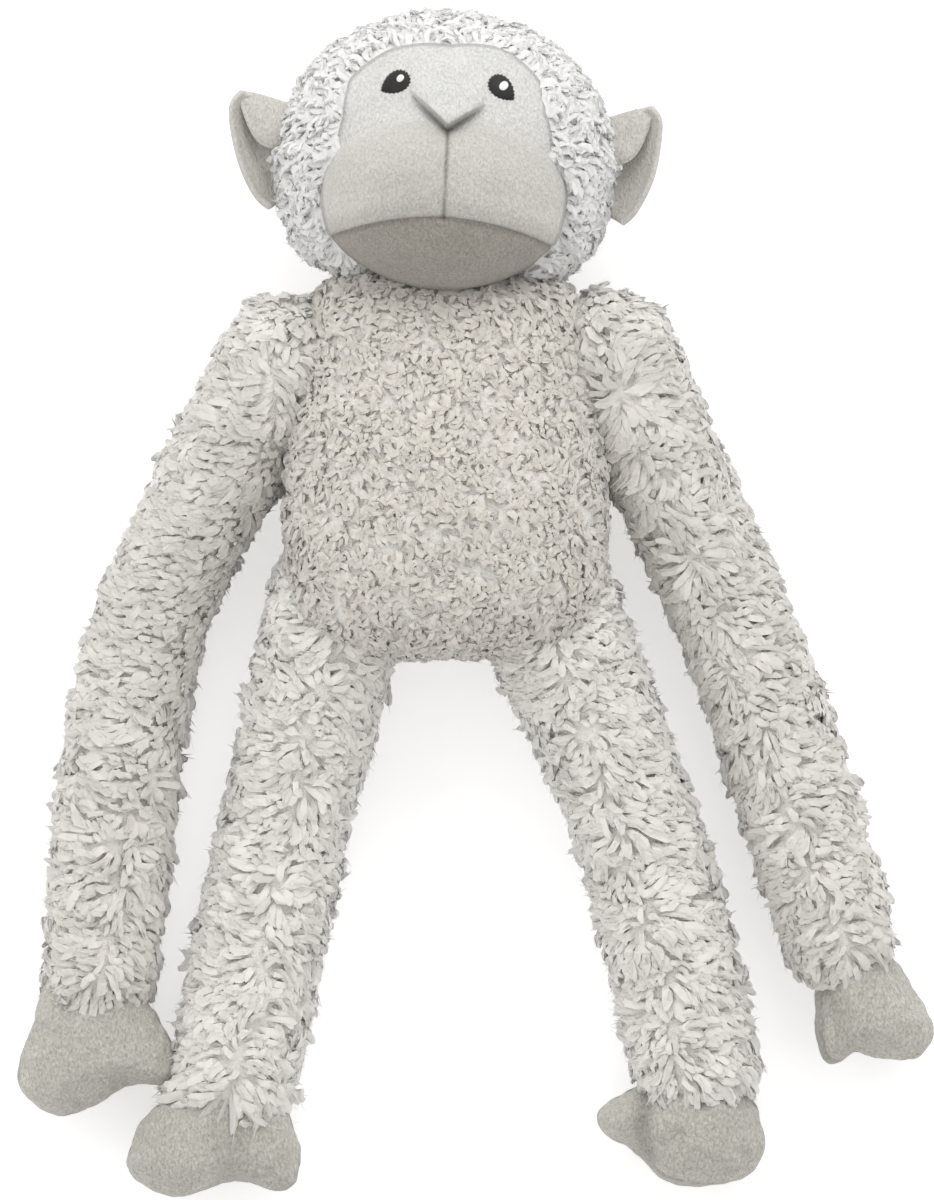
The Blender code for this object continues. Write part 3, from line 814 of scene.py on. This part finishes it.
def face_point(direction):
    """The face along a direction from the head's centre: the point, its darkening (seam lines, painted shadow under
    the nose flap, painted shade on the lower muzzle), its share of muzzle.
    """
    skull = reach_of(direction, Vector(), SKULL + Vector((-0.0020, 0.0005, 0.0020)))
    muzzle = reach_of(direction, MUZZLE_CENTRE, MUZZLE_RADII)
    far = soft_max(skull, muzzle, 0.0055)
    point = direction * far
    x, y = point.x, point.y
    lift = 0.0
    seam = 0.0
    join = bell(muzzle - skull + 0.0005, 0.0016) * smooth_step(abs(x), 0.010, 0.022)
    lift -= 0.0008 * join
    if point.z > 0.02:
        above = y - nose_line(x)
        side = max(0.0, 1.0 - (abs(x) / 0.0150) ** 2)
        fold = smooth_step(above, -0.0006, 0.0006)
        # the flap stands proud of the hollows under its two arms and runs up into the bridge
        lift += 0.0048 * side * fold * bell(above, 0.0085)
        lift -= 0.0030 * side**0.7 * (1.0 - fold) * bell(above, 0.0042)
        lift += 0.0030 * bell(x, 0.0085) * bell(y - 0.022, 0.011) * fold
        # painted shadow under the two arms of the flap, wider on the right
        seam = max(seam, side**0.5 * bell(above + 0.0012, 0.0017 if x < 0 else 0.0024))
        for eye in (-1.0, 1.0):
            lift -= 0.0014 * bell(x - eye * 0.022, 0.010) * bell(y - 0.017, 0.008)
            # the pad of the muzzle to each side of its middle seam
            lift += 0.0022 * bell(x - eye * 0.017, 0.012) * bell(y + 0.010, 0.013)
        if mouth_height(0.0) - 0.001 < y < nose_line(0.0):
            lift -= 0.0016 * bell(x - 0.0006, 0.0008) + 0.0014 * bell(x - 0.0006, 0.0045)
            seam = max(seam, bell(x - 0.0006, 0.0007))
    if point.z > -0.01:
        under = y - mouth_height(x)
        lift += 0.0018 * bell(under - 0.006, 0.006)
        seam = max(seam, 0.8 * bell(under, 0.0013))
        # painted shade on the lower muzzle just above the mouth
        seam = max(seam, 0.34 * bell(x + 0.006, 0.024) * bell(under - 0.006, 0.011))
    wrinkle = noise.noise(point * 45.0) * 0.0014 + noise.noise(point * 130.0) * 0.0005
    return direction * (far + lift + wrinkle), seam, smooth_step(muzzle - skull, -0.004, 0.007)


def face_panel(below, steps):
    """The mask above the mouth seam, or the chin below it. Each turns inwards past its edges, as sewn cloth does."""
    made = bmesh.new()
    bmesh.ops.create_grid(made, x_segments=steps, y_segments=steps, size=1.0)
    seam = made.verts.layers.float.new("seam")
    muzzle = made.verts.layers.float.new("muzzle")
    spread = math.radians(112)
    drop = []
    for vert in made.verts:
        a, b = vert.co.x, vert.co.y
        out = math.hypot(a, b)
        if out > 1.0:
            drop.append(vert)
            continue
        angle = spread * (0.5 * out + 0.5 * out**2.5)
        ring = Vector((a, b)) / max(out, 1e-9)
        direction = Vector((math.sin(angle) * ring.x, math.sin(angle) * ring.y, math.cos(angle)))
        point, depth, lower = face_point(direction)
        past_mouth = (mouth_height(point.x) - point.y) * (-1.0 if below else 1.0)
        past_edge = -inside_mask(point)
        if past_mouth > 0.0045 or past_edge > 0.0050:
            drop.append(vert)
            continue
        stitch = 0.85 + 0.15 * math.sin(2600.0 * point.x)
        tuck = 0.0042 * smooth_step(past_mouth * stitch, -0.0012, 0.0040)
        tuck += 0.0045 * smooth_step(past_edge, -0.0008, 0.0030)
        # depth holds seam lines and painted shade from face_point; the second term is the seam line at the mask's
        # edge
        vert[seam] = max(depth, 0.8 * smooth_step(past_edge, -0.0022, -0.0013))
        vert[muzzle] = lower
        vert.co = point - direction * tuck
    bmesh.ops.delete(made, geom=drop, context="VERTS")
    loose = [vert for vert in made.verts if not vert.link_faces]
    bmesh.ops.delete(made, geom=loose, context="VERTS")
    bmesh.ops.transform(made, matrix=HEAD, verts=made.verts)
    bmesh.ops.recalc_face_normals(made, faces=made.faces)
    made.faces.ensure_lookup_table()
    if sum(face.normal.z for face in made.faces) < 0:
        bmesh.ops.reverse_faces(made, faces=made.faces)
    return made


class PLUSH_OT_face(bpy.types.Operator):
    """Short-pile face, muzzle and chin with their seams and the folded nose"""

    bl_idname = "plush.face"
    bl_label = "Face"

    def execute(self, context):
        tones = settings().colours
        steps = 300
        upper_nodes = ("face_panel", "muzzle_panel_left", "muzzle_panel_right", "muzzle_stuffing", "nose_fold")
        pale = finish_of("face_pile", lambda: velour("face_pile", tones.face, 0.35, 0.22, tones.muzzle))
        dark = finish_of("chin_pile", lambda: velour("chin_pile", tones.chin, 0.25, 0.32))
        for name, below, surface, slot, nodes in (
            ("face_and_muzzle", False, pale, "face_velour", upper_nodes),
            ("chin", True, dark, "chin_velour", ("chin_panel",)),
        ):
            piece = object_from(face_panel(below, steps), name, surface)
            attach(piece, "head")
            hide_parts(*nodes)
        return {"FINISHED"}


class PLUSH_OT_eyes(bpy.types.Operator):
    """Embroidered teardrop eyes with pale highlights"""

    bl_idname = "plush.eyes"
    bl_label = "Eyes"

    def execute(self, context):
        tones, size = settings().colours, settings().body.eye_size
        face = bpy.data.objects["face_and_muzzle"]
        tree = BVHTree.FromObject(face, context.evaluated_depsgraph_get())
        black = finish_of("eye_thread", lambda: satin_stitch("eye_thread", tones.thread, 0.45))
        white = finish_of("highlight_thread", lambda: satin_stitch("highlight_thread", tones.shine, 0.6))
        # side, centre, way the tear points, highlight's offset and its half size
        eyes = (
            ("left", (-0.0211, 0.0238), math.radians(213), (0.0022, 0.0017), 0.0017),
            ("right", (0.0211, 0.0236), math.radians(-42), (0.0003, 0.0008), 0.0021),
        )

        def tear(u, v):
            """A square's point moved into a teardrop that points to +X."""
            rho = max(abs(u), abs(v))
            angle = math.atan2(v, u)
            edge = Vector((math.cos(angle), 0.80 * math.sin(angle) * abs(math.sin(angle / 2)) ** 0.55))
            rough = 1.0 + 0.045 * math.sin(23.0 * angle) + 0.04 * math.sin(37.0 * angle + 1.0)
            return edge * rho * rough, rho

        def pebble(u, v):
            rho = max(abs(u), abs(v))
            angle = math.atan2(v, u)
            corner = 1.0 + 0.10 * math.cos(2.0 * (angle - 0.5))
            return Vector((math.cos(angle), math.sin(angle))) * rho * corner, rho

        for end, centre, way, shift, half in eyes:
            parts = (
                ("eye_patch", black, "black_thread", tear, size / 2, way, (0.0, 0.0), 0.0009),
                ("eye_highlight", white, "white_thread", pebble, half, 0.3, shift, 0.0013),
            )
            for name, surface, slot, outline, scale, turn, offset, proud in parts:
                builder = bmesh.new()
                builder.loops.layers.uv.new("threads")
                bmesh.ops.create_grid(builder, x_segments=30, y_segments=30, size=1.0, calc_uvs=True)
                spin = Matrix.Rotation(turn, 2)
                for vert in builder.verts:
                    flat, rho = outline(vert.co.x, vert.co.y)
                    flat = spin @ flat * scale + Vector(centre) + Vector(offset)
                    above = HEAD @ Vector((flat.x, flat.y, 0.15))
                    hit, normal, _, _ = tree.ray_cast(above, -SKY)
                    if hit is None:
                        raise RuntimeError("an eye misses the face")
                    vert.co = hit + normal * (proud * (1.0 - rho**6) - 0.0002)
                bmesh.ops.recalc_face_normals(builder, faces=builder.faces)
                if sum(face.normal.z for face in builder.faces) < 0:
                    bmesh.ops.reverse_faces(builder, faces=builder.faces)
                piece = object_from(builder, f"{name}_stitches_{end}", surface)
                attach(piece, "head")
                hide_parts(f"{name}_{end}")
        return {"FINISHED"}


class PLUSH_OT_hood(bpy.types.Operator):
    """The furry hood of the head"""

    bl_idname = "plush.hood"
    bl_label = "Hood"

    def execute(self, context):
        pile = settings().pile
        builder = bmesh.new()
        bmesh.ops.create_uvsphere(builder, u_segments=64, v_segments=40, radius=1.0)
        for vert in builder.verts:
            unit = vert.co.copy()
            across = math.hypot(unit.x, unit.z)
            if unit.y < 0 and across > 1e-6:
                fuller = 1.04 * across**0.36
                unit.x *= fuller / across
                unit.z *= (0.5 * fuller + 0.5 * across) / across
            vert.co = Vector((unit.x * SKULL.x, unit.y * SKULL.y, unit.z * SKULL.z))
            vert.co *= 1.0 - 0.14 * smooth_step(inside_mask(vert.co), 0.001, 0.010)
        bmesh.ops.transform(builder, matrix=HEAD, verts=builder.verts)
        for vert in builder.verts:
            vert.co.z = max(0.001, vert.co.z)
        bmesh.ops.recalc_face_normals(builder, faces=builder.faces)
        cloth = finish_of("hood_backing", lambda: backing_cloth("hood_backing", settings().colours.head_root_painted_fill))
        skin = object_from(builder, "hood_cloth", cloth)
        fur = finish_of("hood_fur", lambda: lock_fur("hood_fur", settings().colours.head_tip, settings().colours.head_root_painted_fill))
        family = lock_family(14, 2.3, 0.60)
        back_to_head = HEAD.inverted()

        def comb(front):
            def way_of(point, normal):
                local = back_to_head @ point
                if (local.z > 0.0) != front:
                    return None
                edge = inside_mask(local)
                if edge > 0.0013:
                    return None
                outward = Vector((local.x, local.y + 0.004, 0.0)).normalized()
                away = HEAD.to_3x3() @ outward
                fade = (0.7 if local.z > 0 else 0.3) + 0.30 * bell(edge, 0.006)
                way = away * fade + Vector((0.0, -0.25, 0.0)) + drift(point, 60.0) * 0.9 + drift(point, 150.0) * 1.2
                return way, 1.0 + 0.25 * drift(point, 100.0).x

            return way_of

        for half, front in (("front", True), ("back", False)):
            locks = grow_pile(f"hood_{half}_pile", skin, family, pile.cut("head"), comb(front), fur, 80 + front)
            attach(locks, "head")
        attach(skin, "head")
        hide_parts("head_fur_hood", "head_stuffing")
        return {"FINISHED"}


# an ear about its hinge, for the right side: how far out and how far up
EAR_RIM = ((2.0, -26.0), (7.0, -22.5), (11.5, -15.5), (14.8, -7.5), (16.8, 1.0), (18.0, 9.0), (17.6, 14.5), (14.0, 18.3))
EAR_TOP = ((-5.0, 13.6), (2.0, 16.0), (8.0, 18.4), (14.0, 18.3))
LOBE_EDGE = ((-5.0, -3.0), (3.0, -3.6), (7.5, -1.4), (11.0, 3.6), (13.6, 10.0), (15.2, 15.6))


def on_line(points, share_along):
    """A point part of the way along a smooth line through some pairs of millimetres."""
    stations = [Vector((x, y, 0.0)) / 1000.0 for x, y in points]
    return along_path(stations, 33)[round(32 * share_along)][0]


class PLUSH_OT_ears(bpy.types.Operator):
    """Cupped ears of velour, each with its front lobe folded over the hollow"""

    bl_idname = "plush.ears"
    bl_label = "Ears"

    def execute(self, context):
        tones = settings().colours
        surface = finish_of("ear_velour", lambda: velour("ear_velour", tones.ears, 0.35, 0.2))

        def leaf(u, v):
            """The back of the ear: u from the head to the rim, v from the bottom to the top."""
            rim = on_line(EAR_RIM, v)
            inner = Vector((-5.0, -22.0 + 35.6 * v, 0.0)) / 1000.0
            flat = inner.lerp(rim, u)
            hollow = -0.0050 * math.sin(math.pi * min(1.0, u * 1.05)) * math.sin(math.pi * (0.12 + 0.80 * v))
            curl = 0.0035 * u**4 + 0.0020 * v**6
            return flat + Vector((0.0, 0.0, hollow + curl))

        def lobe(u, v):
            """The folded front: u from the head outwards, v from the top fold down to the free edge."""
            flat = on_line(EAR_TOP, u).lerp(on_line(LOBE_EDGE, u), v)
            plump = 0.0044 * math.sin(math.pi * (0.10 + 0.62 * v)) * (1.0 - 0.55 * u**3)
            return flat + Vector((0.0, 0.0, 0.0004 + plump))

        for end, side in SIDES:
            hinge = JOINTS[f"ear_{end}_fold"]
            for part, shape, thick in (("back", leaf, 0.0030), ("lobe", lobe, 0.0024)):
                builder = bmesh.new()
                builder.loops.layers.uv.new("cloth")
                bmesh.ops.create_grid(builder, x_segments=20, y_segments=32, size=0.5, calc_uvs=True)
                seam = builder.verts.layers.float.new("seam")
                for vert in builder.verts:
                    u, v = vert.co.x + 0.5, vert.co.y + 0.5
                    place = shape(u, v)
                    place.z += 0.0010 * noise.noise(Vector((u, v, side)) * 2.6)
                    vert[seam] = bell(u - 0.93, 0.025) * 0.6 if part == "back" else bell(v - 0.93, 0.03) * 0.5
                    vert.co = hinge + Vector((side * place.x, place.y, place.z))
                bmesh.ops.recalc_face_normals(builder, faces=builder.faces)
                if sum(face.normal.z for face in builder.faces) < 0:
                    bmesh.ops.reverse_faces(builder, faces=builder.faces)
                piece = object_from(builder, f"ear_{part}_cloth_{end}", surface)
                wall = piece.modifiers.new("two layers", "SOLIDIFY")
                wall.thickness = thick
                wall.offset = -1.0
                soft = piece.modifiers.new("soft edge", "SUBSURF")
                soft.levels = 2
                soft.render_levels = 2
                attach(piece, f"ear_{end}")
                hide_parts(f"ear_{part}_{end}")
        return {"FINISHED"}


# Hands and feet


# outlines seen from above, in millimetres from the wrist or the ankle
MITTENS = {
    "hand_left": (
        (-21.9, -4.0), (-24.3, -10.3), (-27.0, -19.0), (-30.2, -28.5), (-31.8, -35.6), (-31.4, -41.9),
        (-28.6, -46.6), (-23.1, -51.0), (-15.2, -53.7), (-8.1, -52.1), (-0.6, -49.4), (5.7, -45.8),
        (11.2, -42.7), (17.1, -41.5), (24.2, -41.9), (29.8, -39.5), (31.3, -32.4), (29.0, -25.3),
        (24.6, -17.4), (20.3, -10.3), (12.4, -2.1), (-1.4, 3.1), (-14.4, 2.3),
    ),
    "hand_right": (
        (17.5, -1.5), (22.6, -7.8), (28.1, -16.9), (32.9, -24.3), (35.6, -29.9), (36.0, -35.4),
        (34.1, -40.9), (30.1, -44.5), (24.2, -46.0), (17.5, -45.6), (11.2, -44.5), (6.1, -43.3),
        (2.9, -44.5), (-0.3, -46.8), (-3.8, -47.6), (-7.0, -46.0), (-8.9, -41.7), (-10.1, -34.6),
        (-10.1, -26.7), (-9.7, -18.8), (-7.0, -9.4), (2.5, -1.5), (10.4, 1.7),
    ),
    "foot_left": (
        (-24.0, -6.6), (-30.3, -10.2), (-35.5, -15.3), (-39.0, -21.6), (-41.0, -27.9), (-41.4, -33.4),
        (-39.0, -38.2), (-33.5, -42.5), (-26.4, -45.3), (-18.5, -45.7), (-11.4, -43.7), (-5.1, -41.3),
        (1.6, -40.1), (6.7, -40.5), (11.8, -42.5), (17.0, -43.7), (21.7, -42.9), (25.2, -39.0),
        (26.4, -32.6), (26.0, -25.5), (24.1, -18.4), (20.9, -11.4), (14.6, -3.5), (-0.4, -0.3),
        (-13.8, -1.9),
    ),
    "foot_right": (
        (-23.3, -3.9), (-29.6, -7.4), (-35.1, -10.6), (-38.3, -14.1), (-39.1, -17.7), (-37.5, -21.6),
        (-33.2, -25.2), (-27.6, -27.9), (-22.9, -31.5), (-19.0, -36.6), (-14.6, -41.0), (-6.7, -43.7),
        (2.3, -44.1), (11.4, -42.9), (18.9, -40.2), (23.6, -36.2), (26.4, -30.3), (26.8, -24.0),
        (25.2, -16.9), (22.4, -10.2), (15.0, -3.9), (1.2, -0.7), (-14.6, -0.3),
    ),
}
# which way the edge seam rolls up over the top, and how far; the cloth beyond it is darkened as painted shade of the
# underside
ROLL = {"hand_left": (0.0, 0.0), "hand_right": (-0.60, 0.0), "foot_left": (0.10, -0.50), "foot_right": (-0.15, -0.55)}
# valleys between thumb and palm: from, to, half width and depth in millimetres
CREASES = {
    "hand_left": (),
    "hand_right": (((-6.2, -16.1), (3.3, -42.5), 5.0, 1.4),),
    "foot_left": (((-0.4, -23.2), (2.0, -39.7), 11.0, 1.8),),
    "foot_right": (((-19.4, -6.3), (-21.7, -21.2), 4.6, 3.4), ((-21.7, -21.2), (-18.6, -33.1), 4.6, 3.0)),
}


def outline_reach(points):
    """The outline's centre, and a function from an angle round it to the reach there."""
    corners = [Vector((x, y, 0.0)) / 1000.0 for x, y in points]
    laps = corners + corners[:3]
    line = [place for place, _, _ in along_path(laps, 12 * len(laps) + 1)]
    centre = sum(corners, Vector()) / len(corners)
    polar = sorted((math.atan2(p.y - centre.y, p.x - centre.x), (p - centre).length) for p in line)
    angles, reaches = zip(*polar)

    def reach(angle):
        return float(np.interp(angle, angles, reaches, period=math.tau))

    return centre, reach


def off_segment(point, start, end):
    """How far a flat point lies from the stretch between two others."""
    span = end - start
    at = max(0.0, min(1.0, (point - start).dot(span) / span.length_squared))
    return (point - start - span * at).length


def inflated(piece, swell, cap):
    """Plumps a closed skin with a short cloth simulation, held at its seam; no point moves past the cap."""
    rest = np.array([vert.co[:] for vert in piece.data.vertices])
    held = piece.vertex_groups.new(name="held")
    for vert, value in zip(piece.data.vertices, piece.data.attributes["seam"].data):
        held.add([vert.index], min(1.0, 1.4 * value.value), "REPLACE")
    cloth = piece.modifiers.new("cloth", "CLOTH")
    cloth.settings.vertex_group_mass = "held"
    cloth.settings.use_pressure = True
    cloth.settings.uniform_pressure_force = swell
    cloth.settings.shrink_min = -0.06
    cloth.settings.tension_stiffness = 12
    cloth.settings.compression_stiffness = 4
    cloth.settings.bending_stiffness = 0.2
    cloth.settings.effector_weights.gravity = 0.0
    cloth.point_cache.frame_start = 1
    cloth.point_cache.frame_end = 20
    for step in range(1, 16):
        bpy.context.scene.frame_set(step)
    apply_all(piece)
    bpy.context.scene.frame_set(1)
    moved = np.array([vert.co[:] for vert in piece.data.vertices])
    shift = moved - rest
    far = np.linalg.norm(shift, axis=1, keepdims=True)
    shift *= np.minimum(1.0, cap / np.maximum(far, 1e-9))
    piece.data.vertices.foreach_set("co", (rest + shift).ravel())
    piece.data.update()


def apply_all(piece):
    graph = bpy.context.evaluated_depsgraph_get()
    evaluated = piece.evaluated_get(graph)
    mesh = bpy.data.meshes.new_from_object(evaluated)
    piece.modifiers.clear()
    piece.data = mesh


class PLUSH_OT_mitten(bpy.types.Operator):
    """A stuffed hand or foot of short velour with a thumb and an edge seam"""

    bl_idname = "plush.mitten"
    bl_label = "Hand or foot"

    kind: bpy.props.EnumProperty(
        name="Kind", description="Hand or foot", items=[("hand", "Hand", ""), ("foot", "Foot", "")], default="hand"
    )
    end: bpy.props.EnumProperty(
        name="Side", description="Which side", items=[("left", "Left", ""), ("right", "Right", "")], default="left"
    )

    def execute(self, context):
        tones = settings().colours
        hand = self.kind == "hand"
        key = f"{self.kind}_{self.end}"
        joint = JOINTS[f"{'wrist' if hand else 'ankle'}_{self.end}"]
        panels = ("back_panel", "palm_panel") if hand else ("top_panel", "sole_panel")
        corners = [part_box(f"{key}_{panel}") for panel in panels]
        bottom, top = min(a.z for a, _ in corners), max(b.z for _, b in corners)
        middle, half = (bottom + top) / 2, (top - bottom) / 2
        centre, reach = outline_reach(MITTENS[key])
        roll = Vector(ROLL[key])
        creases = [(Vector(a) / 1000.0, Vector(b) / 1000.0, w / 1000.0, d / 1000.0) for a, b, w, d in CREASES[key]]
        builder = bmesh.new()
        bmesh.ops.create_uvsphere(builder, u_segments=88, v_segments=44, radius=1.0)
        seam = builder.verts.layers.float.new("seam")
        for vert in builder.verts:
            unit = vert.co.copy()
            wide = math.hypot(unit.x, unit.y)
            angle = math.atan2(unit.y, unit.x)
            edge = reach(angle)
            stitched = unit.z - max(0.0, roll.x * unit.x + roll.y * unit.y)
            pinch = bell(stitched, 0.045) * smooth_step(wide, 0.3, 0.7)
            ripple = 0.6 + 0.4 * math.sin(62.0 * angle)
            flat = centre + Vector((math.cos(angle), math.sin(angle), 0.0)) * (edge * wide**0.92)
            full = half * min(1.12, 0.45 + 0.62 * (0.024 + (edge - 0.024) * wide**2) / 0.024)
            height = math.copysign(abs(unit.z) ** 0.86, unit.z) * full
            fold = 0.0
            for start, end, width, deep in creases:
                away = off_segment(flat.xy, start, end)
                height -= deep * bell(away, width) * smooth_step(unit.z, 0.0, 0.5)
                # painted shade along the crease
                fold = max(fold, deep * 250.0 * bell(away, width * 0.7) * smooth_step(unit.z, 0.0, 0.5))
            place = Vector((flat.x, flat.y, height))
            place -= unit * (0.0009 * pinch * ripple)
            place += unit * (noise.noise(place * 85.0) * 0.0009 + noise.noise(place * 210.0) * 0.0004)
            vert.co = joint + Vector((place.x, place.y, 0.0))
            vert.co.z = max(0.0006, middle + place.z)
            # darkening: the edge seam line, painted shade in the creases, painted shade on the underside beyond the
            # rolled seam
            vert[seam] = max(pinch, min(0.8, fold), 0.42 * smooth_step(-stitched, 0.0, 0.10) * smooth_step(roll.length, 0.0, 0.1))
        surface = finish_of("limb_velour", lambda: velour("limb_velour", tones.hands, 0.35, 0.36))
        piece = object_from(builder, key, surface)
        inflated(piece, 4.0, 0.0012)
        finer = piece.modifiers.new("finer", "SUBSURF")
        finer.levels = 1
        finer.render_levels = 1
        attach(piece, key)
        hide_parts(f"{key}_stuffing", *[f"{key}_{panel}" for panel in panels])
        return {"FINISHED"}


class PLUSH_OT_stage(bpy.types.Operator):
    """Pale floor, soft light and the camera"""

    bl_idname = "plush.stage"
    bl_label = "Stage"

    def execute(self, context):
        scene = context.scene
        builder = bmesh.new()
        bmesh.ops.create_grid(builder, x_segments=2, y_segments=2, size=3.0)
        floor = object_from(builder, "floor", floor_paint(), smooth=False)

        def lamp(name, place, aim_at, size, power):
            light = bpy.data.lights.new(name, "AREA")
            light.shape = "DISK"
            light.size = size
            light.energy = power
            made = bpy.data.objects.new(name, light)
            made.location = place
            made.rotation_euler = (Vector(aim_at) - Vector(place)).to_track_quat("-Z", "Y").to_euler()
            scene.collection.objects.link(made)

        centre = (0.0, -0.05, 0.03)
        lamp("key_light", (0.30, 1.45, 1.25), centre, 1.2, 13.0)
        lamp("fill_light", (-1.2, 0.6, 1.3), centre, 1.4, 4.0)

        world = bpy.data.worlds.new("studio")
        scene.world = world
        world.use_nodes = True
        background = world.node_tree.nodes["Background"]
        background.inputs["Color"].default_value = (1.0, 1.0, 1.0, 1.0)
        background.inputs["Strength"].default_value = 0.86
        scene.view_settings.view_transform = "Standard"

        lens = bpy.data.cameras.new("camera")
        height = settings().body.camera_height
        camera = bpy.data.objects.new("camera", lens)
        scene.collection.objects.link(camera)
        camera.location = (0.0083, -0.0513, height)
        lens.sensor_width = 36.0
        lens.lens = 36.0 * (height - 0.045) / 0.4732
        lens.clip_start = 0.1
        lens.clip_end = 40.0
        scene.camera = camera
        return {"FINISHED"}


class PlushSettings(bpy.types.PropertyGroup):
    pile: bpy.props.PointerProperty(name="Pile", description="Sizes of the curly pile", type=PileSettings)
    colours: bpy.props.PointerProperty(name="Colours", description="Colours of the cloths", type=ColourSettings)
    body: bpy.props.PointerProperty(name="Body", description="Sizes of the cloth parts", type=BodySettings)


class PLUSH_PT_panel(bpy.types.Panel):
    """Lists the sizes, the colours and the pieces"""

    bl_idname = "PLUSH_PT_panel"
    bl_label = "Plush monkey"
    bl_space_type = "VIEW_3D"
    bl_region_type = "UI"
    bl_category = "Plush"

    def draw(self, context):
        layout = self.layout
        for group in (settings().body, settings().pile, settings().colours):
            box = layout.box()
            for name in group.__annotations__:
                box.prop(group, name)
        for operator in OPERATORS:
            layout.operator(operator.bl_idname)


OPERATORS = (
    PLUSH_OT_stage,
    PLUSH_OT_torso,
    PLUSH_OT_limb,
    PLUSH_OT_limb_roots,
    PLUSH_OT_hood,
    PLUSH_OT_face,
    PLUSH_OT_eyes,
    PLUSH_OT_ears,
    PLUSH_OT_mitten,
)
CLASSES = (PileSettings, ColourSettings, BodySettings, PlushSettings, *OPERATORS, PLUSH_PT_panel)


def register():
    for cls in CLASSES:
        bpy.utils.register_class(cls)
    bpy.types.Scene.plush_monkey = bpy.props.PointerProperty(
        name="Plush monkey", description="Sizes and colours of the plush monkey", type=PlushSettings
    )


def unregister():
    del bpy.types.Scene.plush_monkey
    for cls in reversed(CLASSES):
        bpy.utils.unregister_class(cls)


def main():
    register()
    bpy.ops.plush.stage()
    bpy.ops.plush.torso()
    for end, _ in SIDES:
        bpy.ops.plush.limb(kind="arm", end=end)
        bpy.ops.plush.limb(kind="leg", end=end)
        bpy.ops.plush.mitten(kind="hand", end=end)
        bpy.ops.plush.mitten(kind="foot", end=end)
    bpy.ops.plush.limb_roots()
    bpy.ops.plush.hood()
    bpy.ops.plush.face()
    bpy.ops.plush.eyes()
    bpy.ops.plush.ears()


if __name__ == "__main__":
    main()
